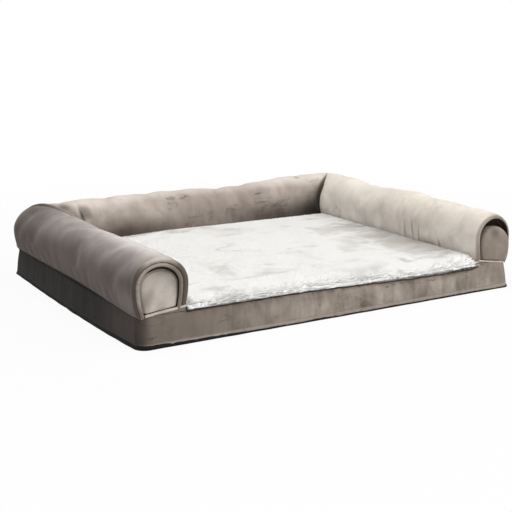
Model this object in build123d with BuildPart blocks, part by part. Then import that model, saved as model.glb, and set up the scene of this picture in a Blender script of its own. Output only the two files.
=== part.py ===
from build123d import *
import os
from math import sqrt

# A sofa-style dog bed. A foam slab lies in a zipped cover: canvas underneath, a velvet side wall,
# a plush top, and three stuffed velvet bolsters that leave the long front side open.
# Millimetres. The origin is the middle of the underside, +X is the right arm, -Y the open front, +Z up.

# Mattress
bed_width = 914.0
bed_depth = 700.0
corner_radius = 32.0
foam_thickness = 60.0
foam_slack = 4.0  # air between the foam's edge and the side wall's cloth

# Cloths
base_cloth = 1.5
velvet = 2.0
floor_cloth = 1.0
top_ease = 0.5  # play between the foam and the cloth above it
wall_draw_in = 7.0  # how far the top seam stands in from the footprint

# Canvas band round the lower edge
band_cloth = 1.6
band_height = 8.0
band_lift = 0.4

# Bolsters, measured across from the outer foot and up from the floor cloth
bolster_base = 91.0
bolster_height = 106.0
outer_bulge = 8.0
inner_bulge = 6.0
bolster_corner_radius = 64.0
corner_swell = 6.0  # the bolsters are this much fuller at the back corners
dip = 3.0  # and this much flatter where they have been leaned on
fill_gap = 0.5

# Arm fronts
rim_radius = 8.0
rim_land = 0.6
piping_radius = 3.5
piping_gap = 0.3
panel_cloth = 2.0
panel_crown = 3.0
panel_crown_width = 14.0
hem_height = 5.0
hem_thickness = 6.0

# Plush top
plush_height = 17.0
plush_crown = 5.0
plush_front_height = 5.0
plush_front_round = 18.0
plush_gap = 4.5

# Zip in the back wall
zip_height = 33.0
zip_slot = 12.0
tape_width = 14.0
tape_thickness = 0.8
coil_width = 3.2
coil_thickness = 2.2
coil_gap = 1.4
stop_setback = 10.0
stop_length = 3.0
bottom_stop_length = 4.0

# Zip slider and its pull
slider_length = 12.0
slider_flare = 1.2
slider_plate = 1.2
slider_flange = 1.0
slider_gap = 0.4
wedge_thickness = 0.8
wedge_length = 5.0
stop_gap = 0.5
bail_length = 9.0
bail_height = 3.4
bail_wire = 1.0
bail_width = 2.4
pull_pin_radius = 0.7
pull_gap = 0.5
pull_thickness = 1.2
pull_arm_width = 1.2
pull_eye_length = 5.6
pull_length = 30.0
pull_width = 7.0
pull_hole_radius = 1.6
pull_round = 2.5

overrun = 20.0  # how far cutting tools reach past what they cut

# Heights and places that follow from the sizes above
wall_top = base_cloth + foam_thickness + top_ease
floor_top = wall_top + floor_cloth
foot_x = bed_width / 2 - wall_draw_in
foot_y = bed_depth / 2 - wall_draw_in
inner_x = foot_x - bolster_base
inner_y = foot_y - bolster_base
corner_span = corner_radius + wall_draw_in
seam_x = bed_width / 2 - corner_span
seam_y = bed_depth / 2 - corner_span


# Mattress cover: walls that lean in towards the top seam
def leaning_block(low, high, inset):
    """Solid between two heights whose sides lean like the side wall, inset from the wall's outer face."""
    with BuildPart() as block:
        for height in (low, high):
            pull = wall_draw_in * height / wall_top + inset
            with BuildSketch(Plane.XY.offset(height)):
                RectangleRounded(bed_width - 2 * pull, bed_depth - 2 * pull, corner_radius - inset)
        loft(ruled=True)
    return block.part


with BuildPart() as base_panel:
    add(leaning_block(0, base_cloth, 0))

with BuildPart() as base_binding:
    add(leaning_block(band_lift, band_lift + band_height, -band_cloth))
    add(leaning_block(-overrun, band_height + overrun, 0), mode=Mode.SUBTRACT)

with BuildPart() as foam_mattress:
    add(leaning_block(base_cloth, base_cloth + foam_thickness, velvet + foam_slack))

with BuildPart() as wall_ring:
    add(leaning_block(base_cloth, wall_top, 0))
    add(leaning_block(-overrun, wall_top + overrun, velvet), mode=Mode.SUBTRACT)

with BuildPart() as front_gusset:
    add(wall_ring.part)
    with Locations((0, -seam_y, 0)):
        Box(
            bed_width + overrun,
            bed_depth,
            wall_top + overrun,
            align=(Align.CENTER, Align.MAX, Align.MIN),
            mode=Mode.INTERSECT,
        )

with BuildPart() as left_gusset:
    add(wall_ring.part)
    with Locations((-seam_x, -seam_y, 0)):
        Box(
            bed_width,
            bed_depth + overrun,
            wall_top + overrun,
            align=(Align.MAX, Align.MIN, Align.MIN),
            mode=Mode.INTERSECT,
        )

with BuildPart() as right_gusset:
    mirror(left_gusset.part, about=Plane.YZ)

# Back wall in two strips with the zip between them
zip_y = bed_depth / 2 - wall_draw_in * zip_height / wall_top
zip_plane = Plane(origin=(0, zip_y, zip_height), x_dir=(-1, 0, 0), z_dir=(0, wall_top, wall_draw_in))
strip_reach = wall_top + overrun


def back_strip(side):
    """Part of the back wall on one side of the zip slot, up (1) or down (-1) the wall."""
    with BuildPart() as strip:
        add(wall_ring.part)
        with BuildSketch(zip_plane.offset(-strip_reach)):
            with Locations((0, side * (zip_slot + strip_reach) / 2)):
                Rectangle(2 * seam_x, strip_reach)
        extrude(amount=2 * strip_reach, mode=Mode.INTERSECT)
    return strip.part


with BuildPart() as back_gusset_upper:
    add(back_strip(1))

with BuildPart() as back_gusset_lower:
    add(back_strip(-1))

# Floor cloth that closes the bolsters underneath, open where the plush top lies
with BuildPart() as bolster_floor:
    with BuildSketch(Plane.XY.offset(wall_top)):
        RectangleRounded(2 * foot_x, 2 * foot_y, corner_radius)
        with Locations((0, inner_y)):
            Rectangle(2 * inner_x, bed_depth, align=(Align.CENTER, Align.MAX), mode=Mode.SUBTRACT)
    extrude(amount=floor_cloth)


# Bolster sections: u runs inwards from the outer foot, v up from the floor cloth
def corner_pull(distance, radius):
    """How far a rounded corner stands in from the side, at a distance along the side from the sharp corner."""
    run = min(radius, max(0.0, radius - distance))
    return radius - sqrt(radius**2 - run**2)


def bolster_section(corner_distance, swell):
    """Outer foot, outer side, inner side and height of a bolster, at a distance from its back corner."""
    bulge = outer_bulge + max(swell, 0)
    outer_foot = corner_pull(corner_distance, corner_radius)
    outer_side = corner_pull(corner_distance + bulge, bolster_corner_radius) - bulge
    return outer_foot, outer_side, bolster_base + inner_bulge, bolster_height + swell


def arch_edges(section, inset=0.0, foot=0.0):
    """The section's edge from one foot over the crest to the other, and its two feet."""
    outer_foot, outer_side, inner_side, height = section
    outer, inner = outer_side + inset, inner_side - inset
    radius = (inner - outer) / 2
    middle, shoulder = (outer + inner) / 2, height - inset - radius
    diagonal = radius / sqrt(2)

    def flank(side, foot_at, v):
        return side + (foot_at - side) * ((shoulder - v) / shoulder) ** 2

    low = (shoulder + foot) / 2
    feet = outer_foot + inset, bolster_base - inset
    start = (flank(outer, feet[0], foot), foot)
    end = (flank(inner, feet[1], foot), foot)
    crest = (middle, shoulder + radius)
    ThreePointArc(start, (flank(outer, feet[0], low), low), (outer, shoulder))
    ThreePointArc((outer, shoulder), (middle - diagonal, shoulder + diagonal), crest)
    ThreePointArc(crest, (middle + diagonal, shoulder + diagonal), (inner, shoulder))
    ThreePointArc((inner, shoulder), (flank(inner, feet[1], low), low), end)
    return start, end


def arch_face(section, inset=0.0, foot=0.0):
    """The whole section, closed along its foot."""
    with BuildLine() as outline:
        start, end = arch_edges(section, inset, foot)
        Line(end, start)
    make_face(outline.line)


def arch_band(section, outer_inset, inner_inset):
    """Section of the cover's cloth, between two insets and open along its foot."""
    with BuildLine() as outline:
        outer_start, outer_end = arch_edges(section, outer_inset)
        inner_start, inner_end = arch_edges(section, inner_inset)
        Line(outer_start, inner_start)
        Line(outer_end, inner_end)
    make_face(outline.line)


def arm_plane(along):
    """Section plane of the left arm, that far behind the front of the arm."""
    return Plane(origin=(-foot_x, along - foot_y, floor_top), x_dir=(1, 0, 0), z_dir=(0, -1, 0))


def back_plane(along):
    """Section plane of the back bolster, that far from its left corner."""
    return Plane(origin=(along - foot_x, foot_y, floor_top), x_dir=(0, -1, 0), z_dir=(-1, 0, 0))


arm_length = 2 * foot_y
back_length = 2 * foot_x
rim_shares = (0.0, 0.12, 0.4, 1.0)  # of the rim's radius, where its round is sampled
arm_shares = (0.12, 0.3, 0.5, 0.7, 0.86)  # of the arm's length
arm_swell_shares = (0.0, -0.4, -1.0, 0.0, 0.8)
back_shares = (0.14, 0.3, 0.5, 0.7, 0.86)  # of the back bolster's length
back_swell_shares = (0.8, 0.0, -1.0, -0.6, 0.8)
corner_shares = (1.6, 1.1, 0.75, 0.5, 0.27)  # of the corner radii; a mitre crosses them at 0.29


def swell_of(share):
    """Fuller where the share is above zero, and leaned-on where it is below."""
    return share * (corner_swell if share > 0 else dip)


def corner_distances():
    """Where a bolster is sampled round its outer corner, as distances from the sharp corner."""
    for share in corner_shares:
        yield min(share * corner_radius, share * bolster_corner_radius - outer_bulge - corner_swell)


def arm_stations(start):
    """Distance along the arm and section, from start to near the back corner."""
    yield start, bolster_section(arm_length - start, 0)
    for share, swell in zip(arm_shares, arm_swell_shares):
        along = share * arm_length
        yield along, bolster_section(arm_length - along, swell_of(swell))


def arm_corner_stations():
    """Distance along the arm and section, from near the back corner to past its mitre."""
    along = arm_shares[-1] * arm_length
    yield along, bolster_section(arm_length - along, swell_of(arm_swell_shares[-1]))
    for distance in corner_distances():
        yield arm_length - distance, bolster_section(distance, corner_swell)


def back_stations():
    """Distance along the back bolster and section, between its corners."""
    for share, swell in zip(back_shares, back_swell_shares):
        along = share * back_length
        yield along, bolster_section(min(along, back_length - along), swell_of(swell))


def back_corner_stations():
    """Distance along the back bolster and section, from its left end to past the corner's mitre."""
    along = back_shares[0] * back_length
    yield along, bolster_section(along, swell_of(back_swell_shares[0]))
    for distance in corner_distances():
        yield distance, bolster_section(distance, corner_swell)


def bolster_block(plane_of, stations, draw, ruled=False):
    """Loft of drawn sections along a bolster."""
    with BuildPart() as block:
        for along, section in stations:
            with BuildSketch(plane_of(along)):
                draw(section)
        loft(ruled=ruled)
    return block.part


def cover_band(section):
    """The cover's cloth."""
    arch_band(section, 0, velvet)


def fill_face(section):
    """The stuffing inside the cover."""
    arch_face(section, velvet + fill_gap)


left_mitre = Plane(origin=(-foot_x, foot_y, 0), x_dir=(0, 0, 1), z_dir=(1, 1, 0))
front_section = bolster_section(arm_length, 0)
opening_inset = rim_radius + rim_land

# Bolster covers
with BuildPart() as left_bolster_cover:
    add(bolster_block(arm_plane, arm_stations(rim_radius), cover_band))
    add(bolster_block(arm_plane, arm_corner_stations(), cover_band, ruled=True))
    # the rim that turns in towards the piping
    for share in rim_shares:
        turn = corner_pull(share * rim_radius, rim_radius)
        with BuildSketch(arm_plane(share * rim_radius)):
            arch_band(front_section, turn, velvet + turn * (opening_inset - velvet) / rim_radius)
    loft(ruled=True)
    split(bisect_by=left_mitre, keep=Keep.BOTTOM)

with BuildPart() as back_corner_cover:
    add(bolster_block(back_plane, back_corner_stations(), cover_band, ruled=True))
    split(bisect_by=left_mitre, keep=Keep.TOP)

with BuildPart() as back_bolster_cover:
    add(bolster_block(back_plane, back_stations(), cover_band))
    add(back_corner_cover.part)
    mirror(back_corner_cover.part, about=Plane.YZ)

with BuildPart() as right_bolster_cover:
    mirror(left_bolster_cover.part, about=Plane.YZ)

# Arm fronts, from the piping inwards
piping_inset = opening_inset + piping_gap + piping_radius
panel_front = 2 * piping_radius + piping_gap
panel_back = panel_front + panel_cloth
crown_inset = piping_inset + piping_radius + piping_gap
crown_foot = hem_height + piping_gap
crown_rise_shares = (0.0, 0.45, 0.8, 1.0)  # of the crown's height
crown_draw_shares = (0.0, 0.12, 0.45, 1.0)  # of its rounded edge's width

with BuildPart() as left_end_piping:
    with BuildLine(arm_plane(piping_radius)) as piping_path:
        arch_edges(front_section, piping_inset, -2 * piping_radius)
    with BuildSketch(Plane(origin=piping_path.wire() @ 0, z_dir=piping_path.wire() % 0)):
        Circle(piping_radius)
    sweep(path=piping_path.wire())
    split(bisect_by=Plane.XY.offset(floor_top + piping_gap), keep=Keep.TOP)

with BuildPart() as left_end_panel:
    with BuildSketch(arm_plane(panel_back)):
        arch_face(front_section, rim_radius, piping_gap)
    extrude(amount=panel_cloth)
    for rise_share, draw_share in zip(crown_rise_shares, crown_draw_shares):
        draw = draw_share * panel_crown_width
        with BuildSketch(arm_plane(panel_front - rise_share * panel_crown)):
            arch_face(front_section, crown_inset + draw, crown_foot + draw)
    loft(ruled=True)

hem_start = crown_inset + inner_bulge / 2
hem_end = bolster_base - crown_inset - inner_bulge / 2
with BuildPart() as left_end_hem:
    with BuildSketch(arm_plane(panel_front - piping_gap)):
        with Locations(((hem_start + hem_end) / 2, hem_height / 2)):
            Rectangle(hem_end - hem_start, hem_height)
    extrude(amount=hem_thickness)
    front_edges = left_end_hem.edges().filter_by(Axis.X).group_by(Axis.Y)[0]
    fillet(front_edges, radius=hem_height / 3)

with BuildPart() as right_end_piping:
    mirror(left_end_piping.part, about=Plane.YZ)

with BuildPart() as right_end_panel:
    mirror(left_end_panel.part, about=Plane.YZ)

with BuildPart() as right_end_hem:
    mirror(left_end_hem.part, about=Plane.YZ)

# Stuffing
fill_start = panel_back + fill_gap

with BuildPart() as left_bolster_fill:
    add(bolster_block(arm_plane, arm_stations(fill_start), fill_face))
    add(bolster_block(arm_plane, arm_corner_stations(), fill_face, ruled=True))
    split(bisect_by=left_mitre, keep=Keep.BOTTOM)

with BuildPart() as back_corner_fill:
    add(bolster_block(back_plane, back_corner_stations(), fill_face, ruled=True))
    split(bisect_by=left_mitre, keep=Keep.TOP)

with BuildPart() as back_bolster_fill:
    add(bolster_block(back_plane, back_stations(), fill_face))
    add(back_corner_fill.part)
    mirror(back_corner_fill.part, about=Plane.YZ)

with BuildPart() as right_bolster_fill:
    mirror(left_bolster_fill.part, about=Plane.YZ)


# Plush top: side edges under the bolsters, rounded over the front seam
def plush_face(height, crown):
    """Section of the plush top across the bed."""
    half = inner_x - plush_gap
    with BuildLine() as outline:
        Polyline((-half, height), (-half, 0), (half, 0), (half, height))
        ThreePointArc((half, height), (0, height + crown), (-half, height))
    make_face(outline.line)


def plush_plane(along):
    """Section plane of the plush top, that far behind its front edge."""
    return Plane(origin=(0, along - foot_y, wall_top), x_dir=(1, 0, 0), z_dir=(0, -1, 0))


plush_length = foot_y + inner_y - plush_gap
plush_round_shares = (0.0, 0.12, 0.4, 1.0)  # of the front round, from the front edge back
plush_shares = (0.0, 0.33, 0.66, 1.0)  # of the length behind the front round
plush_height_shares = (1.0, 1.15, 1.15, 0.85)  # of the height at the sides
plush_crown_shares = (0.6, 1.0, 1.0, 0.5)

with BuildPart() as sleeping_surface:
    for share, height_share, crown_share in zip(plush_shares, plush_height_shares, plush_crown_shares):
        along = plush_front_round + share * (plush_length - plush_front_round)
        with BuildSketch(plush_plane(along)):
            plush_face(height_share * plush_height, crown_share * plush_crown)
    loft()
    for share in plush_round_shares:
        drop = corner_pull(share * plush_front_round, plush_front_round) / plush_front_round
        height = plush_height - drop * (plush_height - plush_front_height)
        with BuildSketch(plush_plane(share * plush_front_round)):
            plush_face(height, plush_crown * plush_crown_shares[0])
    loft(ruled=True)

# Zip, drawn on the outer face of the back wall: x towards the left arm, y up the wall, z outwards
zip_length = 2 * seam_x
tape_face = -velvet
coil_end = zip_length / 2 - stop_setback


def tape(side):
    """One woven tape, behind the wall cloth and up to the coil gap."""
    with BuildPart() as strip:
        with BuildSketch(zip_plane.offset(tape_face)):
            with Locations((0, side * (coil_gap + tape_width) / 2)):
                Rectangle(zip_length, tape_width)
        extrude(amount=-tape_thickness)
    return strip.part


def coil(side):
    """One row of coil teeth, as the bar that the teeth fill."""
    with BuildPart() as bar:
        with BuildSketch(zip_plane.offset(tape_face)):
            with Locations((0, side * (coil_gap + coil_width) / 2)):
                Rectangle(2 * coil_end, coil_width)
        extrude(amount=coil_thickness)
    return bar.part


with BuildPart() as zip_tape_upper:
    add(tape(1))

with BuildPart() as zip_tape_lower:
    add(tape(-1))

with BuildPart() as zip_coil_upper:
    add(coil(1))

with BuildPart() as zip_coil_lower:
    add(coil(-1))

# Stops: a crimp on each coil where the zip closes, one block across both where it ends
with BuildPart() as zip_top_stops:
    with BuildSketch(zip_plane.offset(tape_face)):
        for side in (1, -1):
            with Locations((-coil_end - stop_length / 2, side * (coil_gap + coil_width) / 2)):
                Rectangle(stop_length, coil_width)
    extrude(amount=coil_thickness)

with BuildPart() as zip_bottom_stop:
    with BuildSketch(zip_plane.offset(tape_face)):
        with Locations((coil_end + bottom_stop_length / 2, 0)):
            Rectangle(bottom_stop_length, coil_gap + 2 * coil_width)
    extrude(amount=coil_thickness)

# Slider, parked where the zip closes
coil_face = tape_face + coil_thickness
plate_back = coil_face + slider_gap
plate_front = plate_back + slider_plate
inner_plate_front = tape_face - tape_thickness - slider_gap
slider_mouth_width = coil_gap + 2 * (coil_width + slider_gap + slider_flange)
slider_nose_width = slider_mouth_width + slider_flare
slider_x = slider_length / 2 + stop_gap - coil_end
slider_plane = Plane(zip_plane.location * Location((slider_x, 0, 0)))
pin_height = plate_front + pull_gap + pull_pin_radius


def slider_outline():
    """Plan of a slider plate, wider at the nose where the coils part."""
    half = slider_length / 2
    with BuildLine() as outline:
        Polyline(
            (half, slider_mouth_width / 2),
            (0, slider_mouth_width / 2),
            (-half / 2, slider_nose_width / 2),
            (-half, slider_nose_width / 2),
            (-half, -slider_nose_width / 2),
            (-half / 2, -slider_nose_width / 2),
            (0, -slider_mouth_width / 2),
            (half, -slider_mouth_width / 2),
            close=True,
        )
    make_face(outline.line)


with BuildPart() as zip_slider:
    with BuildSketch(slider_plane.offset(plate_back)):
        slider_outline()
    extrude(amount=slider_plate)
    with BuildSketch(slider_plane.offset(inner_plate_front)):
        slider_outline()
    extrude(amount=-slider_plate)
    # flanges that keep the coils under the front plate
    with BuildSketch(slider_plane.offset(tape_face + slider_gap)):
        for side in (1, -1):
            with Locations((0, side * (slider_mouth_width - slider_flange) / 2)):
                Rectangle(slider_length, slider_flange)
    extrude(amount=plate_back - tape_face - slider_gap)
    # wedge between the coils, which joins the two plates
    with BuildSketch(slider_plane.offset(inner_plate_front)):
        with Locations(((wedge_length - slider_length) / 2, 0)):
            Rectangle(wedge_length, wedge_thickness)
    extrude(amount=plate_back - inner_plate_front)
    # bail that the pull's pin turns under
    bail_plane = Plane(slider_plane.offset(plate_front).location * Location((0, 0, 0), (90, 0, 0)))
    with BuildSketch(bail_plane.offset(-bail_width / 2)):
        with Locations((0, bail_height / 2)):
            Rectangle(bail_length, bail_height)
            Rectangle(bail_length - 2 * bail_wire, bail_height, mode=Mode.SUBTRACT)
        with Locations((0, bail_height - bail_wire / 2)):
            Rectangle(bail_length, bail_wire)
    extrude(amount=bail_width)

# Pull: a pin under the bail, two arms round it and a flat tab, lying back along the zip
eye_half = bail_width / 2 + pull_gap
pull_plane = slider_plane.offset(pin_height)
with BuildPart() as zip_pull:
    pin_plane = Plane(pull_plane.location * Location((0, 0, 0), (90, 0, 0)))
    with BuildSketch(pin_plane.offset(-eye_half - pull_arm_width)):
        Circle(pull_pin_radius)
    extrude(amount=2 * (eye_half + pull_arm_width))
    with BuildSketch(pull_plane.offset(-pull_thickness / 2)):
        for side in (1, -1):
            with Locations((0, side * (eye_half + pull_arm_width / 2))):
                Rectangle(pull_eye_length + pull_arm_width, pull_arm_width, align=(Align.MIN, Align.CENTER))
        with Locations((pull_eye_length, 0)):
            Rectangle(pull_length - pull_eye_length, pull_width, align=(Align.MIN, Align.CENTER))
        with Locations((pull_length - pull_width / 2, 0)):
            Circle(pull_hole_radius, mode=Mode.SUBTRACT)
    extrude(amount=pull_thickness)
    tab_corners = zip_pull.edges().filter_by(Axis(pull_plane.origin, pull_plane.z_dir)).group_by(Axis.X)[0]
    fillet(tab_corners, radius=pull_round)

pieces = {
    "base_panel": base_panel,
    "base_binding": base_binding,
    "foam_mattress": foam_mattress,
    "front_gusset": front_gusset,
    "left_gusset": left_gusset,
    "right_gusset": right_gusset,
    "back_gusset_upper": back_gusset_upper,
    "back_gusset_lower": back_gusset_lower,
    "bolster_floor": bolster_floor,
    "sleeping_surface": sleeping_surface,
    "left_bolster_cover": left_bolster_cover,
    "back_bolster_cover": back_bolster_cover,
    "right_bolster_cover": right_bolster_cover,
    "left_bolster_fill": left_bolster_fill,
    "back_bolster_fill": back_bolster_fill,
    "right_bolster_fill": right_bolster_fill,
    "left_end_piping": left_end_piping,
    "right_end_piping": right_end_piping,
    "left_end_panel": left_end_panel,
    "right_end_panel": right_end_panel,
    "left_end_hem": left_end_hem,
    "right_end_hem": right_end_hem,
    "zip_tape_upper": zip_tape_upper,
    "zip_tape_lower": zip_tape_lower,
    "zip_coil_upper": zip_coil_upper,
    "zip_coil_lower": zip_coil_lower,
    "zip_top_stops": zip_top_stops,
    "zip_bottom_stop": zip_bottom_stop,
    "zip_slider": zip_slider,
    "zip_pull": zip_pull,
}

os.makedirs("parts", exist_ok=True)
for name, piece in pieces.items():
    piece.part.label = name
    export_step(piece.part, f"parts/{name}.step")

slider_travel = 2 * coil_end - slider_length - 2 * stop_gap
print("pull pin at", pull_plane.origin, "along", pull_plane.y_dir, "slider travel", slider_travel)
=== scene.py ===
"""Looks of a sofa-style dog bed: stuffed velvet bolsters and walls, a plush top, a canvas base and a zip."""

import math

import bmesh
import bpy
import numpy as np
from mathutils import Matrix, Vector
from mathutils.bvhtree import BVHTree


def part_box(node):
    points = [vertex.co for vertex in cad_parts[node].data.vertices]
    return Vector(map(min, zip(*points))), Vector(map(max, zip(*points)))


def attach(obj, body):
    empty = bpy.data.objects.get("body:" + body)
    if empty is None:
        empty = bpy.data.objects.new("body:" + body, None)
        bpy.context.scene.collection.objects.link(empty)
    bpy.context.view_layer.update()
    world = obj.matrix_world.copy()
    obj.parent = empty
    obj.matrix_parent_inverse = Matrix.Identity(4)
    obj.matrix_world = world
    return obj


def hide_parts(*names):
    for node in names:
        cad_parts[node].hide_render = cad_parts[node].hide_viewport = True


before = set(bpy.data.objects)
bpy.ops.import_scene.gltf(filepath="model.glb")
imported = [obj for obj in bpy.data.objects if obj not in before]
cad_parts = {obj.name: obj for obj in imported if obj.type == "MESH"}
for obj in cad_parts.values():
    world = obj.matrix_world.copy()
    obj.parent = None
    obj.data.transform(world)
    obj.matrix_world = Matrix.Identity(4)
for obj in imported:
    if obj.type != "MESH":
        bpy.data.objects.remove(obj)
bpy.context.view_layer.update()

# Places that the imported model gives, in metres
WALL_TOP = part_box("bolster_floor")[0].z
FLOOR_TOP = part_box("bolster_floor")[1].z
FOOT_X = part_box("bolster_floor")[1].x
FOOT_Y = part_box("bolster_floor")[1].y
HALF_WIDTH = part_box("base_panel")[1].x
HALF_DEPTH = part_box("base_panel")[1].y
PLUSH_LOW, PLUSH_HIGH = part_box("sleeping_surface")
WALL_DRAW_IN = HALF_WIDTH - FOOT_X

# Sizes of the sewn parts, in metres
MM = 0.001
WALL_CORNER = 22 * MM
WALL_CLOTH = 2 * MM
WALL_LOW = 1.5 * MM  # foot of the walls, behind the band
BOLSTER_BASE = 91 * MM
BOLSTER_HEIGHT = 106 * MM
BOLSTER_CORNER = 64 * MM
OUTER_BULGE = 8 * MM
INNER_BULGE = 6 * MM
RIM = 29 * MM
GRID = 5 * MM
LAP = 24 * MM
LEFT_SHIFT = 4.5 * MM
RIGHT_SHIFT = 5.5 * MM

ARM_LENGTH = 2 * FOOT_Y
BACK_LENGTH = 2 * FOOT_X
OVER_ROLL = 275 * MM  # length of cloth from a bolster's outer foot to its inner one
ARCH_COLUMNS = 51
FLOOR_COLUMNS = 10


def in_mm(*rows):
    """Rows of sizes given in millimetres, in metres."""
    return tuple(tuple(size * MM for size in row) for row in rows)


# Materials


def colour(code):
    """Linear colour from an sRGB hex code."""
    parts = [int(code[i : i + 2], 16) / 255 for i in (1, 3, 5)]
    linear = [p / 12.92 if p <= 0.04045 else ((p + 0.055) / 1.055) ** 2.4 for p in parts]
    return (*linear, 1.0)


def add_node(tree, kind, inputs=None, out=None, **settings):
    """One node with its settings, or its output named out; an input takes a value or another output."""
    made = tree.nodes.new(kind)
    for key, value in settings.items():
        setattr(made, key, value)
    for key, value in (inputs or {}).items():
        if isinstance(value, bpy.types.NodeSocket):
            tree.links.new(value, made.inputs[key])
        else:
            made.inputs[key].default_value = value
    return made if out is None else made.outputs[out]


MIX_FACTOR, MIX_A, MIX_B, MIX_RESULT = 0, 6, 7, 2  # a colour Mix node's sockets


def maths(tree, operation, *values, clamp=False):
    """Result of a Math node."""
    return add_node(tree, "ShaderNodeMath", dict(enumerate(values)), 0, operation=operation, use_clamp=clamp)


def vectors(tree, operation, *values, out="Vector"):
    """Result of a Vector Math node."""
    return add_node(tree, "ShaderNodeVectorMath", dict(enumerate(values)), out, operation=operation)


def ranged(tree, value, low, high, start=0.0, end=1.0, curve="SMOOTHSTEP"):
    """A value that runs from start to end while another one runs from low to high."""
    facts = {"Value": value, "From Min": low, "From Max": high, "To Min": start, "To Max": end}
    return add_node(tree, "ShaderNodeMapRange", facts, "Result", interpolation_type=curve)


def noise(tree, place, size, detail=2.0, roughness=0.5, distortion=0.0, out="Fac"):
    """Noise in patches of a size in metres."""
    facts = {"Vector": place, "Scale": 1 / size, "Detail": detail}
    facts |= {"Roughness": roughness, "Distortion": distortion}
    return add_node(tree, "ShaderNodeTexNoise", facts, out)


def drawn_out(tree, place, turn, scale):
    """Places turned and scaled, for a texture that is drawn out along an axis with a small scale."""
    return add_node(tree, "ShaderNodeMapping", {"Vector": place, "Rotation": turn, "Scale": scale}, "Vector")


def mixed(tree, share, first, second, blend="MIX"):
    """Colour between two by the share of the second."""
    facts = {MIX_FACTOR: share, MIX_A: first, MIX_B: second}
    return add_node(tree, "ShaderNodeMix", facts, MIX_RESULT, data_type="RGBA", blend_type=blend)


def bumped(tree, height, strength, distance, **normal):
    """Normals of a face with a fine relief."""
    facts = {"Height": height, "Strength": strength, "Distance": distance, **normal}
    return add_node(tree, "ShaderNodeBump", facts, "Normal")


def new_material(name):
    """Empty node material, its tree and the places on its object."""
    material = bpy.data.materials.new(name)
    material.use_nodes = True
    tree = material.node_tree
    tree.nodes.clear()
    return material, tree, add_node(tree, "ShaderNodeTexCoord", out="Object")


def finished(material, facts):
    """The material with a Principled surface that has these inputs."""
    surface = add_node(material.node_tree, "ShaderNodeBsdfPrincipled", facts, "BSDF")
    add_node(material.node_tree, "ShaderNodeOutputMaterial", {"Surface": surface})
    return material


def worn_share(tree, place, places, inner=0.35):
    """1 in the middle of each of some places, given as (centre, reach), and 0 outside them."""
    worn = None
    for centre, reach in places:
        away = vectors(tree, "DIVIDE", vectors(tree, "SUBTRACT", place, centre), reach)
        near = ranged(tree, vectors(tree, "LENGTH", away, out="Value"), inner, 1.0, 1.0, 0.0)
        worn = near if worn is None else maths(tree, "MAXIMUM", worn, near)
    return worn


def shaded_by(tree, base, share, shaded, brushed):
    """Base colour turned by a share to a painted light or shade, with the brushed streaks still in it."""
    streaked = ranged(tree, brushed, 0.0, 1.0, 1.1, 0.9, "LINEAR")
    return mixed(tree, share, base, mixed(tree, 1.0, colour(shaded), streaked, "MULTIPLY"))


PATCH = 85 * MM  # pile stroked one way by a hand
CRINKLE = 16 * MM  # lines of crushed pile
SMUDGE = 50 * MM  # areas that the crushed lines keep to
PILE_GRAIN = 1.4 * MM  # single fibres are far too fine to show, so the grain is drawn coarser


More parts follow.
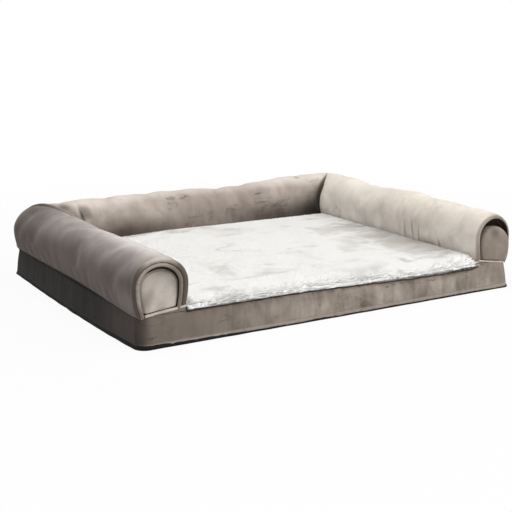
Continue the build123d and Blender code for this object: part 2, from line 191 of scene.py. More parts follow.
def velvet(
    name,
    light,
    dark,
    mark,
    stretch,
    worn=(),
    painted_light_ramps=(),
    painted_light_spots=(),
    sheen=0.2,
    mark_from=0.6,
    streak_size=30 * MM,
):
    """Crushed polyester velvet: cut pile about 1 mm long that catches light at its edge.

    Where the pile has been brushed over it goes from light to dark in soft patches a hand wide and in
    finer streaks, drawn out along the axes with a small stretch, and where it is crushed hard it shows
    thin marks. worn lists the places with most of them, as (centre, reach). Painted light and shade go
    over it in ramps, as (axis, start, end, colour), and in spots, as (centre, reach, share, colour).
    """
    material, tree, place = new_material(name)
    patch = noise(tree, place, PATCH, 3.0, 0.55, 0.9)
    streak = noise(tree, drawn_out(tree, place, (0.12, 0.12, 0.2), stretch), streak_size, 4.0, 0.55, 0.5)
    patch_share = ranged(tree, patch, 0.36, 0.64)
    streak_share = ranged(tree, streak, 0.33, 0.67, curve="LINEAR")
    brushed = maths(tree, "MULTIPLY_ADD", streak_share, 0.5, 0.0)
    brushed = maths(tree, "MULTIPLY_ADD", patch_share, 0.5, brushed, clamp=True)
    base = mixed(tree, brushed, colour(light), colour(dark))
    # painted light and shade over the brushed colour, first in ramps along an axis, then in spots
    for axis, start, end, shaded in painted_light_ramps:
        along = add_node(tree, "ShaderNodeSeparateXYZ", {0: place}, axis)
        base = shaded_by(tree, base, ranged(tree, along, start, end), shaded, brushed)
    for centre, reach, most, shaded in painted_light_spots:
        near = worn_share(tree, place, ((centre, reach),), 0.05)
        base = shaded_by(tree, base, maths(tree, "MULTIPLY", near, most), shaded, brushed)
    lying = drawn_out(tree, place, (0.1, 0.1, 0.1), (0.18, 0.18, 1.0))
    crinkle = noise(tree, lying, CRINKLE, 3.0, 0.55, 0.4)
    off_line = maths(tree, "ABSOLUTE", maths(tree, "SUBTRACT", crinkle, 0.5))
    line = ranged(tree, off_line, 0.0, 0.03, 1.0, 0.0)
    smudge = noise(tree, place, SMUDGE, 3.0, 0.55)
    if worn:
        smudge = maths(tree, "MULTIPLY_ADD", worn_share(tree, place, worn), 0.12, smudge)
    smudged = ranged(tree, smudge, mark_from, mark_from + 0.16)
    marked = maths(tree, "MULTIPLY", maths(tree, "MULTIPLY_ADD", line, 0.5, 0.12), smudged)
    base = mixed(tree, marked, base, colour(mark))
    pile = noise(tree, place, PILE_GRAIN)
    base = mixed(tree, 1.0, base, ranged(tree, pile, 0.3, 0.7, 0.9, 1.08, "LINEAR"), "MULTIPLY")
    crush = bumped(tree, streak, 0.3, 2.0 * MM)
    return finished(
        material,
        {
            "Base Color": base,
            "Roughness": 0.88,
            "IOR": 1.46,
            "Specular IOR Level": 0.25,
            "Sheen Weight": sheen,
            "Sheen Roughness": 0.4,
            "Sheen Tint": colour("#fff6ec"),
            "Normal": bumped(tree, pile, 0.5, 0.5 * MM, Normal=crush),
        },
    )


FUR_STREAK = 45 * MM
FUR_PATCH = 120 * MM


def faux_fur(name, light, shadow, warm, grey_places):
    """Acrylic faux fur, short and brushed: off-white, greyer and warmer in streaks.

    It is greyer and warmer still in some places, listed as (centre, reach).
    """
    material, tree, place = new_material(name)
    lay = drawn_out(tree, place, (0.0, 0.0, 0.5), (0.45, 1.0, 1.0))
    streak = noise(tree, lay, FUR_STREAK, 4.0, distortion=0.8)
    patch = noise(tree, place, FUR_PATCH, 3.0, distortion=0.6)
    worn = worn_share(tree, place, grey_places, 0.1)
    base = colour(light)
    for value, more, low, high, most, tone in (
        (patch, 0.255, 0.56, 0.8, 0.85, warm),
        (streak, 0.16, 0.56, 0.78, 0.75, shadow),
    ):
        value = maths(tree, "MULTIPLY_ADD", worn, more, value)
        base = mixed(tree, ranged(tree, value, low, high, end=most), base, colour(tone))
    # light passes among the thin fibres, so the pile is lit more like its surface than like its fibres
    turned = add_node(tree, "ShaderNodeNewGeometry", out="Normal")
    turned = vectors(tree, "MULTIPLY_ADD", turned, (0.35, 0.35, 0.35), (0.0, 0.0, 0.65))
    return finished(
        material,
        {
            "Base Color": base,
            "Roughness": 0.75,
            "IOR": 1.5,
            "Specular IOR Level": 0.2,
            "Sheen Weight": 0.08,
            "Sheen Roughness": 0.5,
            "Normal": vectors(tree, "NORMALIZE", turned),
        },
    )


def woven(name, light, dark, thread):
    """Plain-woven polyester: crossing threads with small dark gaps between them, a thread's width apart."""
    material, tree, place = new_material(name)
    waves = {"Vector": place, "Scale": 1 / (thread * 20)}
    waves |= {"Distortion": 0.6, "Detail": 1.0, "Detail Scale": 2.0}
    heights = [add_node(tree, "ShaderNodeTexWave", waves, "Fac", bands_direction=axis) for axis in "XY"]
    weave = maths(tree, "MULTIPLY", *heights)
    share = maths(tree, "MULTIPLY_ADD", weave, 0.6, noise(tree, place, 50 * MM, 4.0, 0.6))
    share = ranged(tree, share, 0.3, 1.1, curve="LINEAR")
    return finished(
        material,
        {
            "Base Color": mixed(tree, share, colour(dark), colour(light)),
            "Roughness": 0.85,
            "IOR": 1.5,
            "Specular IOR Level": 0.2,
            "Normal": bumped(tree, weave, 0.6, thread * 0.3),
        },
    )


def solid_stuff(name, light, dark, patch_size, roughness, metallic=0.0, relief=0.0):
    """Moulded, cast or foamed stuff: one colour that varies in patches, with a fine uneven face."""
    material, tree, place = new_material(name)
    patch = noise(tree, place, patch_size, 5.0, 0.65)
    share = ranged(tree, patch, 0.3, 0.7, curve="LINEAR")
    return finished(
        material,
        {
            "Base Color": mixed(tree, share, colour(light), colour(dark)),
            "Roughness": ranged(tree, patch, 0.3, 0.7, roughness - 0.06, roughness + 0.06, "LINEAR"),
            "Metallic": metallic,
            "IOR": 1.5,
            "Normal": bumped(tree, patch, 0.4, relief),
        },
    )


# Meshes


def linked(name, data):
    """Object with its data, in the scene."""
    made = bpy.data.objects.new(name, data)
    bpy.context.scene.collection.objects.link(made)
    return made


def mesh_object(name, points, faces, material):
    """Smooth mesh object from points and faces, with its faces turned outwards."""
    mesh = bpy.data.meshes.new(name)
    mesh.from_pydata(np.asarray(points, float).reshape(-1, 3).tolist(), [], faces)
    shell = bmesh.new()
    shell.from_mesh(mesh)
    bmesh.ops.recalc_face_normals(shell, faces=shell.faces)
    shell.to_mesh(mesh)
    shell.free()
    mesh.shade_smooth()
    mesh.materials.append(material)
    return linked(name, mesh)


def grid_faces(rows, columns, wrap=False):
    """Quads of a grid of points, closed into a tube across its columns if it wraps."""
    faces = []
    for row in range(rows - 1):
        for column in range(columns if wrap else columns - 1):
            after = (column + 1) % columns
            low, high = row * columns, (row + 1) * columns
            faces.append((low + column, low + after, high + after, high + column))
    return faces


def tube(name, rings, material):
    """Closed skin over rings of points, with a fan over each end."""
    rows, columns, _ = rings.shape
    faces = grid_faces(rows, columns, wrap=True)
    points = np.vstack([rings.reshape(-1, 3), rings[0].mean(0), rings[-1].mean(0)])
    first, last = rows * columns, rows * columns + 1
    for column in range(columns):
        after = (column + 1) % columns
        faces.append((first, after, column))
        faces.append((last, (rows - 1) * columns + column, (rows - 1) * columns + after))
    return mesh_object(name, points, faces, material)


def round_rings(count, line):
    """Rings of points along a tube, from its line of points at each angle, given as cosine and sine."""
    turns = np.linspace(0, 2 * math.pi, count + 1)[:-1]
    return np.moveaxis(np.array([line(math.cos(turn), math.sin(turn)) for turn in turns]), 0, 1)


def points_of(piece, fact="co"):
    """The places of the piece's points as an array, or another fact of theirs."""
    points = np.empty(len(piece.data.vertices) * 3)
    piece.data.vertices.foreach_get(fact, points)
    return points.reshape(-1, 3)


def normals_of(piece):
    """The piece's point normals as an array."""
    return points_of(piece, "normal")


def put_points(piece, points):
    """Moves the piece's points to an array of places."""
    piece.data.vertices.foreach_set("co", points.ravel())
    piece.data.update()


def settle(piece):
    """Turns the piece's modifiers into plain mesh."""
    shaped = piece.evaluated_get(bpy.context.evaluated_depsgraph_get())
    mesh = bpy.data.meshes.new_from_object(shaped)
    old = piece.data
    piece.modifiers.clear()
    piece.data = mesh
    mesh.name = piece.name
    bpy.data.meshes.remove(old)
    return piece


def smoothed(piece, levels=1):
    """Subdivides the piece's mesh smoothly."""
    step = piece.modifiers.new("smooth", "SUBSURF")
    step.levels = step.render_levels = levels
    return settle(piece)


def thickened(piece, thickness, offset=-1):
    """Gives a sheet its cloth thickness, inwards or with an offset of 0 to both sides."""
    step = piece.modifiers.new("cloth", "SOLIDIFY")
    step.thickness = thickness
    step.offset = offset
    return settle(piece)


SETTLE_FRAMES = 20
STUFFING_PRESSURE = 2.5
CLOTH_STIFFNESS = 12.0
MOST_GIVE = 6 * MM


def stuffed(piece, loose, growth, bending):
    """Lets the cloth of a piece settle over its filling, and keeps the result as plain mesh.

    loose is how free each point is, from 0 where a seam holds it to 1. The cloth is cut larger than its
    place by growth, and no point moves further than MOST_GIVE.
    """
    held = piece.vertex_groups.new(name="held")
    for share in np.unique(np.round(loose, 1)):
        chosen = np.flatnonzero(np.round(loose, 1) == share).tolist()
        held.add(chosen, 1.0 - float(share), "REPLACE")
    before = points_of(piece)
    cloth = piece.modifiers.new("cloth", "CLOTH")
    facts = cloth.settings
    facts.quality = 6
    facts.mass = 0.3
    facts.tension_stiffness = facts.compression_stiffness = CLOTH_STIFFNESS
    facts.shear_stiffness = CLOTH_STIFFNESS / 2
    facts.bending_stiffness = bending
    facts.tension_damping = facts.compression_damping = 8
    facts.shrink_min = -growth
    facts.vertex_group_mass = "held"
    facts.pin_stiffness = 1.0
    facts.use_pressure = True
    facts.uniform_pressure_force = STUFFING_PRESSURE
    facts.effector_weights.gravity = 0
    cloth.collision_settings.use_collision = False
    cloth.point_cache.frame_start = 1
    cloth.point_cache.frame_end = SETTLE_FRAMES
    for frame_number in range(1, SETTLE_FRAMES + 1):
        bpy.context.scene.frame_set(frame_number)
    settle(piece)
    bpy.context.scene.frame_set(1)
    moved = points_of(piece) - before
    reach = np.linalg.norm(moved, axis=1, keepdims=True)
    limited = moved * (MOST_GIVE * np.tanh(reach / MOST_GIVE) / np.maximum(reach, 1e-9))
    put_points(piece, before + limited * np.clip(loose, 0, 1)[:, None] ** 0.5)
    piece.vertex_groups.clear()


def ripple(places, seed, shortest, longest, count=9):
    """Smooth uneven wave between -1 and 1 along a length, made of a few random wavelengths."""
    draw = np.random.default_rng(seed)
    total = np.zeros_like(places)
    for _ in range(count):
        total += np.sin(2 * math.pi * places / draw.uniform(shortest, longest) + draw.uniform(0, 2 * math.pi))
    return total / math.sqrt(count) / 1.6


# Bolster sections: u runs inwards from the outer foot, v up from the floor cloth


def corner_pull(distance, radius):
    """How far a rounded corner stands in from the side, at a distance from the sharp corner."""
    run = np.clip(radius - distance, 0.0, radius)
    return radius - math.sqrt(radius**2 - run**2)


def bolster_section(corner_distance, swell):
    """Outer foot, outer side, inner side and height of a bolster, at a distance from its back corner."""
    bulge = OUTER_BULGE + max(swell, 0)
    outer_foot = corner_pull(corner_distance, WALL_CORNER)
    outer_side = corner_pull(corner_distance + bulge, BOLSTER_CORNER) - bulge
    return outer_foot, outer_side, BOLSTER_BASE + INNER_BULGE, BOLSTER_HEIGHT + swell


def arch(section, inset=0.0, foot=0.0, count=ARCH_COLUMNS):
    """Points over the section from the outer foot to the inner one, evenly spaced."""
    outer_foot, outer_side, inner_side, height = section
    outer, inner = outer_side + inset, inner_side - inset
    radius = (inner - outer) / 2
    shoulder = height - inset - radius
    rise = np.linspace(foot, shoulder, 24)
    bow = ((shoulder - rise) / shoulder) ** 2
    turn = np.linspace(math.pi, 0, 72)[1:-1]
    u = np.concatenate(
        [
            outer + (outer_foot + inset - outer) * bow,
            (outer + inner) / 2 + radius * np.cos(turn),
            (inner + (BOLSTER_BASE - inset - inner) * bow)[::-1],
        ]
    )
    v = np.concatenate([rise, shoulder + radius * np.sin(turn), rise[::-1]])
    length = np.concatenate([[0], np.cumsum(np.hypot(np.diff(u), np.diff(v)))])
    even = np.linspace(0, length[-1], count)
    return np.stack([np.interp(even, length, u), np.interp(even, length, v)], axis=1)


MITRE_RUN = 0.12  # a bolster's end where its section changes most
MITRE_SEARCH = 0.14  # a bolster's end that its whole mitre lies in


def bolster_grid(length, swell, lip_rows, mitre_at_start, shift=0.0):
    """Rings of (along, u, v) points over a bolster from its front or first mitre to its last mitre.

    swell gives its fullness at a distance along it. Each column runs straight to the mitre, which is
    where its distance from the corner equals its u. The rim's recess is moved outwards by shift.
    """
    stops = np.linspace(0, length, 160)
    near_ends = np.linspace(0, MITRE_RUN, 60)
    stops = np.unique(np.concatenate([stops, near_ends, length - near_ends]))
    table = []
    for along in stops:
        nearest = min(along, length - along) if mitre_at_start else length - along
        table.append(arch(bolster_section(nearest, swell(along))))
    table = np.array(table)
    ends = np.empty(ARCH_COLUMNS)
    starts = np.full(ARCH_COLUMNS, RIM)
    for column in range(ARCH_COLUMNS):
        u = table[:, column, 0]
        near_end = stops > length - MITRE_SEARCH
        gap = (length - stops[near_end]) - u[near_end]
        ends[column] = np.interp(0, gap[::-1], stops[near_end][::-1])
        if mitre_at_start:
            near_start = stops < MITRE_SEARCH
            gap = stops[near_start] - u[near_start]
            starts[column] = np.interp(0, gap, stops[near_start])
    rows = round(length / GRID)
    rings = np.empty((rows, ARCH_COLUMNS, 3))
    for column in range(ARCH_COLUMNS):
        along = np.linspace(starts[column], ends[column], rows)
        rings[:, column, 0] = along
        rings[:, column, 1] = np.interp(along, stops, table[:, column, 0])
        rings[:, column, 2] = np.interp(along, stops, table[:, column, 1])
    if lip_rows:
        front = bolster_section(length, swell(0))
        lip = np.empty((len(lip_rows), ARCH_COLUMNS, 3))
        for row, (depth, inset) in enumerate(lip_rows):
            lip[row, :, 0] = depth
            lip[row, :, 1:] = arch(front, inset)
            lip[row, :, 1] -= shift * inset / lip_rows[0][1]
        rings = np.concatenate([lip, rings])
    share = np.linspace(0, 1, FLOOR_COLUMNS + 2)[1:-1, None]
    floor = rings[:, -1:, :] * (1 - share) + rings[:, :1, :] * share
    return np.concatenate([rings, floor], axis=1)


# Rows of an arm's front rim, as depth behind its front and inset of the arch. The first two are in the
# recess, and the groove further back is where the front boxing is sewn to the roll.
LEFT_RIM = in_mm(
    *((14, 9.5), (9, 9.3), (5, 9.1), (2.6, 8.7), (1.4, 7.7), (1.2, 6.2), (1.9, 4.4), (3.6, 2.6)),
    *((6.2, 1.3), (9.4, 0.9), (12.4, 1.3), (14.8, 2.6), (16.6, 3.9), (18.6, 3.2), (21, 1.7), (24.5, 0.5)),
)
RIGHT_RIM = in_mm(
    *((25, 13.0), (16, 12.8), (8, 12.6), (4.6, 12.2), (2.6, 11.3), (1.6, 9.8), (1.4, 7.8), (2.2, 5.6)),
    *((4.0, 3.5), (6.8, 1.9), (10.4, 0.8), (15, 0.2), (20, 0), (25, 0)),
)


def smooth_share(value, start, end):
    """0 at the start, 1 at the end and a smooth rise between them."""
    part = np.clip((value - start) / (end - start), 0, 1)
    return part * part * (3 - 2 * part)


def settled_arm(piece, side, drop, rise, wider):
    """Lets an arm's front settle: its outer foot down over the wall, its inner foot up on the plush.

    It also grows wider towards its front. The same is done to each piece of the arm's front.
    """
    points = points_of(piece)
    along = points[:, 1] + FOOT_Y
    u = FOOT_X - side * points[:, 0]
    near_front = 1 - smooth_share(along, 0.02, 0.34)
    low = 1 - smooth_share(points[:, 2] - FLOOR_TOP, 0, 75 * MM)
    across = np.clip(u / BOLSTER_BASE, 0, 1)
    points[:, 2] += near_front * low * (rise * across - drop * (1 - across))
    points[:, 0] -= side * near_front * wider * (u - 35 * MM) / (105 * MM)
    put_points(piece, points)


def arm_place(side):
    """Turns (along, u, v) into places on the left (-1) or right (1) arm."""

    def place(points):
        along, u, v = np.moveaxis(points, -1, 0)
        return np.stack([side * (FOOT_X - u), along - FOOT_Y, FLOOR_TOP + v], axis=-1)

    return place


def back_place(points):
    """Turns (along, u, v) into places on the back bolster, from its left corner."""
    along, u, v = np.moveaxis(points, -1, 0)
    return np.stack([along - FOOT_X, FOOT_Y - u, FLOOR_TOP + v], axis=-1)


def fold_depth(along, around, folds):
    """Height of the cloth above its plain shape, from listed folds.

    A fold is (along, around, half length, half width, angle, depth): a soft valley with a low ridge on
    each side, its angle measured from the bolster's length towards its inner side.
    """
    height = np.zeros_like(along)
    for at, over, half_length, half_width, angle, depth in folds:
        cosine, sine = math.cos(math.radians(angle)), math.sin(math.radians(angle))
        run = (along - at) * cosine + (around - over) * sine
        across = (around - over) * cosine - (along - at) * sine
        valley = np.exp(-((across / half_width) ** 2))
        ridge = np.exp(-((np.abs(across) / half_width - 1.9) ** 2)) * 0.35
        height -= depth * (valley - ridge) * np.exp(-((run / half_length) ** 4))
    return height


def mark_faces(piece, to_start, columns, boxing, lap):
    """Gives a bolster's recess and front boxing, or its lapped start, their own materials."""
    on_rings = (len(to_start) - 1) * columns
    marks = np.zeros(len(piece.data.polygons), dtype=np.int32)
    if boxing:
        marks[: boxing * columns] = 2
        marks[: 2 * columns] = 1
        marks[on_rings::2] = 1
    if lap:
        face_rows, face_columns = np.divmod(np.arange(on_rings), columns)
        inside = to_start[face_rows, np.minimum(face_columns, ARCH_COLUMNS - 1)] < lap * 0.9
        marks[:on_rings] = inside & (face_columns < ARCH_COLUMNS)
    piece.data.polygons.foreach_set("material_index", marks)


def raise_cloth(piece, height, columns):
    """Moves a bolster's cloth out along its normals by a grid of heights, but not its feet or floor."""
    lift = np.zeros((len(height), columns))
    lift[:, 1 : ARCH_COLUMNS - 1] = height[:, 1:-1]
    points, normals = points_of(piece), normals_of(piece)
    points[: lift.size] += normals[: lift.size] * lift.reshape(-1, 1)
    put_points(piece, points)


def uneven_cloth(along, over, folds, seed):
    """Height of a bolster's cloth with its folds, before it is stuffed."""
    height = fold_depth(along, over, folds)
    # puckers above each foot, where the cloth is gathered into the seam
    for foot, distance in ((0, over), (1, OVER_ROLL - over)):
        fade = np.exp(-((distance / 0.024) ** 2))
        height += 0.8 * MM * ripple(along, seed + foot, 0.03, 0.09) * fade
    # soft lumps in the stuffing
    crest = np.sin(math.pi * over / OVER_ROLL)
    height += 1.3 * MM * ripple(along + 0.35 * over, seed + 2, 0.08, 0.2) * crest
    height += 0.5 * MM * ripple(along - 0.6 * over, seed + 3, 0.04, 0.08) * crest
    return height


def drawn_cloth(along, over, to_start, to_end, pinches, grooves, lap):
    """Height of a stuffed bolster's cloth at its sharp folds and seams, deepest on the inner side."""
    inner = np.exp(-(((over - 0.205) / 0.042) ** 2))
    height = fold_depth(along, over, pinches)
    for distance, least, share in ((to_end, 0.8 * MM, grooves[1]), (to_start, 1.5 * MM, grooves[0])):
        depth = (least + 8 * MM * inner) * share
        height -= depth * np.exp(-distance / (6 * MM + 3 * MM * inner))
    if lap:
        past = to_start - lap
        reach = np.where(past > 0, 11 * MM, 5 * MM)
        top = np.clip((over - 0.11) / 0.045, 0, 1) * np.clip((OVER_ROLL - over) / 0.03, 0, 1)
        full = 5 * MM * np.exp(-(((past + 14 * MM) / (12 * MM)) ** 2))
        drawn_in = 7 * MM * np.exp(-np.abs(past) / reach)
        height += top * (full - drawn_in)
    return height


def bolster(
    name,
    length,
    swell,
    place,
    materials,
    folds,
    seed,
    rim=(),
    boxing=0,
    mitre_at_start=False,
    grooves=(0.0, 1.0),
    growth=0.012,
    pinches=(),
    lap=0.0,
    shift=0.0,
    bending=1.0,
):
    """Stuffed velvet bolster with folds, puckered feet and seams drawn in at its mitres.

    materials are its velvet, the one for its recess or lap, and the one for its front boxing, which is
    the first rows of its rim. grooves are how far its two mitres are drawn in, growth is how much larger
    its cloth is cut, pinches are sharp folds, lap is how far the next bolster's cloth reaches over its
    start, and shift moves its front recess outwards.
    """
    rings = bolster_grid(length, swell, rim, mitre_at_start, shift)
    rows, columns, _ = rings.shape
    piece = tube(name, place(rings), materials[0])
    for material in materials[1:]:
        piece.data.materials.append(material)
    along = rings[:, :ARCH_COLUMNS, 0]
    over = np.broadcast_to(np.linspace(0, 1, ARCH_COLUMNS) * OVER_ROLL, along.shape)
    to_start, to_end = along - along[:1], along[-1:] - along
    mark_faces(piece, to_start, columns, boxing, lap)

    height = uneven_cloth(along, over, folds, seed)
    if not mitre_at_start:
        height *= np.clip((along - 24 * MM) / (20 * MM), 0, 1)
    raise_cloth(piece, height, columns)

    # the foot seams, mitres and front rim hold the cloth, and the floor under it stays flat
    loose = np.zeros((rows, columns))
    free = np.clip(np.minimum(over, OVER_ROLL - over) / (18 * MM), 0, 1)
    free *= np.clip((to_end - 3 * MM) / (14 * MM), 0, 1)
    first = to_start - 3 * MM if mitre_at_start else along - 26 * MM
    loose[:, :ARCH_COLUMNS] = free * np.clip(first / (16 * MM), 0, 1)
    stuffed(piece, np.append(loose, [0.0, 0.0]), growth, bending)  # the last two are its ends' middles

    raise_cloth(piece, drawn_cloth(along, over, to_start, to_end, pinches, grooves, lap), columns)
    return smoothed(piece)


def swell_curve(*stops):
    """Fullness along a bolster as a smooth curve through (share of length, swell in millimetres)."""
    shares, swells = np.array(stops).T
    swells = swells * MM

    def swell(length):
        def at(along):
            place = along / length
            index = int(np.clip(np.searchsorted(shares, place) - 1, 0, len(shares) - 2))
            part = (place - shares[index]) / (shares[index + 1] - shares[index])
            ease = part * part * (3 - 2 * part)
            return swells[index] + (swells[index + 1] - swells[index]) * ease

        return at

    return swell


# Finishes
# Polyester velvet is matt with a soft edge of light, and its pile is lighter or darker as it lies; over that
# go painted light and shade

AROUND_ARM = (0.35, 1.0, 0.35)  # streaks go round an arm, across its length
AROUND_BACK = (1.0, 0.35, 0.35)
UPRIGHT = (1.0, 1.0, 0.22)
EVENLY = (0.5, 0.5, 0.5)
# Left arm: painted shade low on its outer side and at the back corner, and painted highlights along its crest
# and low at the front
velvet_left = velvet(
    "velvet_shaded_taupe",
    "#b0a8a4",
    "#908783",
    "#6a605d",
    AROUND_ARM,
    worn=(((-0.4, 0.3, 0.15), (0.08, 0.08, 0.06)),),
    painted_light_ramps=((2, 0.188, 0.12, "#605653"),),
    painted_light_spots=(
        ((-0.388, -0.2, 0.175), (0.055, 0.34, 0.03), 0.7, "#dcd7d3"),
        ((-0.375, 0.15, 0.155), (0.03, 0.12, 0.04), 0.5, "#d2c9c2"),
        ((-0.42, 0.31, 0.168), (0.105, 0.27, 0.06), 1.0, "#514742"),
        ((-0.46, 0.3, 0.11), (0.03, 0.2, 0.07), 0.6, "#3c3431"),
        ((-0.462, -0.33, 0.085), (0.05, 0.11, 0.04), 0.6, "#857b77"),
    ),
)
# Back roll: painted light along its crest and at its left end, and painted shade low along its foot, across
# its middle, in its right corner and in the creases at its left mitre
velvet_back = velvet(
    "velvet_taupe",
    "#b3a89e",
    "#978c83",
    "#3a2e27",
    AROUND_BACK,
    worn=(
        ((0.17, 0.25, 0.11), (0.17, 0.09, 0.06)),
        ((-0.04, 0.25, 0.12), (0.07, 0.08, 0.06)),
    ),
    painted_light_ramps=((2, 0.15, 0.176, "#cbc2b8"),),
    painted_light_spots=(
        ((-0.26, 0.27, 0.165), (0.1, 0.06, 0.035), 0.6, "#d9cec5"),
        ((0.06, 0.25, 0.13), (0.24, 0.08, 0.055), 0.4, "#776a61"),
        ((-0.22, 0.25, 0.085), (0.28, 0.06, 0.05), 0.9, "#5a4e47"),
        ((-0.37, 0.26, 0.12), (0.06, 0.05, 0.1), 0.5, "#5a4e47"),
        ((0.22, 0.25, 0.085), (0.26, 0.08, 0.055), 0.85, "#4a4039"),
        ((0.38, 0.25, 0.09), (0.17, 0.1, 0.085), 1.0, "#1a1411"),
        ((0.335, 0.25, 0.085), (0.07, 0.06, 0.06), 0.6, "#241d19"),
        ((-0.313, 0.255, 0.142), (0.014, 0.03, 0.038), 1.0, "#1a1310"),
        ((-0.352, 0.27, 0.16), (0.02, 0.03, 0.014), 0.8, "#463c36"),
    ),
    mark_from=0.56,
)
# Right arm: a lighter, lit copy of the velvet, with painted light low on its inner side and painted shade on
# its front face, rim top, foot, back corner and pinched folds
velvet_right = velvet(
    "velvet_sand",
    "#dbd3c9",
    "#cac1b6",
    "#7e7267",
    AROUND_ARM,
    worn=(
        ((0.352, -0.19, 0.1), (0.05, 0.035, 0.05)),
        ((0.352, 0.17, 0.09), (0.05, 0.09, 0.04)),
        ((0.352, -0.02, 0.085), (0.05, 0.08, 0.03)),
    ),
    painted_light_ramps=((2, 0.14, 0.085, "#ece5dc"), (1, 6 * MM - FOOT_Y, 2 * MM - FOOT_Y, "#a59a8f")),
    painted_light_spots=(
        ((0.425, -0.357, 0.168), (0.05, 0.04, 0.028), 0.95, "#74665c"),
        ((0.37, -0.355, 0.075), (0.03, 0.055, 0.05), 0.9, "#7f736a"),
        ((0.36, -0.185, 0.08), (0.03, 0.04, 0.025), 0.4, "#a89c91"),
        ((0.36, 0.3, 0.09), (0.04, 0.08, 0.05), 0.7, "#7e7268"),
        ((0.35, -0.222, 0.085), (0.04, 0.008, 0.022), 0.6, "#6d6056"),
        ((0.35, -0.152, 0.098), (0.04, 0.0065, 0.045), 0.6, "#6d6056"),
        ((0.35, -0.128, 0.104), (0.04, 0.006, 0.045), 0.5, "#6d6056"),
        ((0.35, -0.1, 0.098), (0.04, 0.008, 0.035), 0.45, "#75685e"),
    ),
)
# Front wall: painted shade towards its left end, darkest at the left corner, and at its far right; a painted
# highlight on the roll above its hem
velvet_front = velvet(
    "velvet_wall_taupe",
    "#b0a599",
    "#6f655b",
    "#463c34",
    UPRIGHT,
    worn=(((0.2, -0.35, 0.055), (0.3, 0.1, 0.02)), ((-0.43, -0.35, 0.04), (0.1, 0.1, 0.05))),
    painted_light_ramps=(
        (0, -0.02, -0.4, "#786e65"),
        (0, 0.36, 0.45, "#8b8076"),
        (2, 0.0125, 0.0095, "#a0958a"),
        (0, -0.425, -0.459, "#3a3431"),
    ),
    mark_from=0.53,
    streak_size=20 * MM,
)
# Left wall: a near-black copy of the wall velvet as painted shade, lighter towards its front corner and its
# back
velvet_side_painted_shade = velvet(
    "velvet_wall_charcoal",
    "#1d1c1b",
    "#161514",
    "#100f0f",
    UPRIGHT,
    painted_light_ramps=((1, -0.12, -0.33, "#4a4340"), (1, 0.2, 0.35, "#2b2927")),
    sheen=0.05,
)
# Right and back walls: a darker copy of the front wall's velvet, painted shade
velvet_far_side = velvet("velvet_wall_shade", "#8b8177", "#665d54", "#463c34", UPRIGHT)
velvet_panel = velvet(
    "velvet_panel",
    "#d2c9c0",
    "#b2a89e",
    "#6f6257",
    (0.8, 1.0, 0.8),
    worn=(((-0.42, -0.34, 0.095), (0.02, 0.03, 0.03)), ((-0.39, -0.34, 0.145), (0.03, 0.03, 0.02))),
    painted_light_spots=(
        ((-0.405, -0.345, 0.155), (0.06, 0.03, 0.045), 0.8, "#85786d"),
        ((-0.425, -0.345, 0.1), (0.014, 0.03, 0.022), 0.55, "#85786c"),
        ((-0.437, -0.345, 0.088), (0.018, 0.03, 0.032), 0.8, "#7d7166"),
    ),
)
velvet_right_panel = velvet(
    "velvet_right_panel",
    "#a4988d",
    "#83776d",
    "#4d4139",
    (1.0, 1.0, 0.5),
    painted_light_spots=(((0.407, -0.355, 0.128), (0.02, 0.03, 0.022), 0.75, "#5f5349"),),
)
# Left arm's rim: painted shade on its outer and inner sides and a painted highlight on its crest
velvet_rim = velvet(
    "velvet_rim",
    "#a1968c",
    "#7d7369",
    "#4c423b",
    EVENLY,
    worn=(((-0.41, -0.35, 0.16), (0.05, 0.03, 0.03)),),
    painted_light_ramps=((0, -0.428, -0.456, "#554b45"), (0, -0.38, -0.364, "#5e534b"), (2, 0.15, 0.176, "#cbc2bb")),
    mark_from=0.52,
)
# Left piping: painted shade on its outer and inner legs and at its outer foot
velvet_piping = velvet(
    "velvet_piping",
    "#b9afa4",
    "#938980",
    "#4c423b",
    EVENLY,
    painted_light_ramps=((0, -0.43, -0.45, "#a3988d"), (0, -0.4, -0.375, "#857a70")),
    painted_light_spots=(((-0.453, -0.35, 0.068), (0.02, 0.03, 0.024), 0.9, "#5a5047"),),
    mark_from=0.45,
)
# Dark velvet, painted shade: used in the arm fronts' recesses, the right arm's rim and piping, and the seam
# under the fur's front edge
velvet_recess = velvet("velvet_recess", "#3a302a", "#2c241f", "#231c18", EVENLY, sheen=0.05)
velvet_welt = velvet("velvet_welt", "#cfc8bc", "#b9b0a4", "#8e847a", (1.0, 1.0, 0.5))

# Acrylic fur is nearly white on top and greyer in places beside the bolsters
FUR_COLOURS = ("#fffefb", "#c3bbb4", "#ded8d3")
FUR_GREY_PLACES = (
    ((0.31, -0.13, 0.09), (0.16, 0.36, 0.2)),
    ((-0.22, 0.25, 0.09), (0.2, 0.09, 0.2)),
    ((-0.35, -0.05, 0.09), (0.06, 0.3, 0.2)),
)
fur_fibre = faux_fur("faux_fur_fibre", *FUR_COLOURS, FUR_GREY_PLACES)
fur_backing = faux_fur("faux_fur_backing", *FUR_COLOURS, FUR_GREY_PLACES)

# Woven polyester is matt, with its threads just visible close by
canvas = woven("canvas_black", "#1a1918", "#0c0c0c", 1.2 * MM)
tape_weave = woven("zip_tape_weave", "#4a4743", "#2e2c2a", 0.8 * MM)
lining = woven("lining", "#5a5855", "#3f3d3b", 0.9 * MM)

# Moulded nylon has a dull shine, and die-cast zinc in a dark plating a sharper, uneven one
nylon = solid_stuff("nylon_coil", "#4a4744", "#3b3936", 4 * MM, 0.45, relief=0.1 * MM)
gunmetal = solid_stuff("zinc_gunmetal", "#6e6c69", "#4d4b49", 6 * MM, 0.32, metallic=0.9, relief=0.05 * MM)

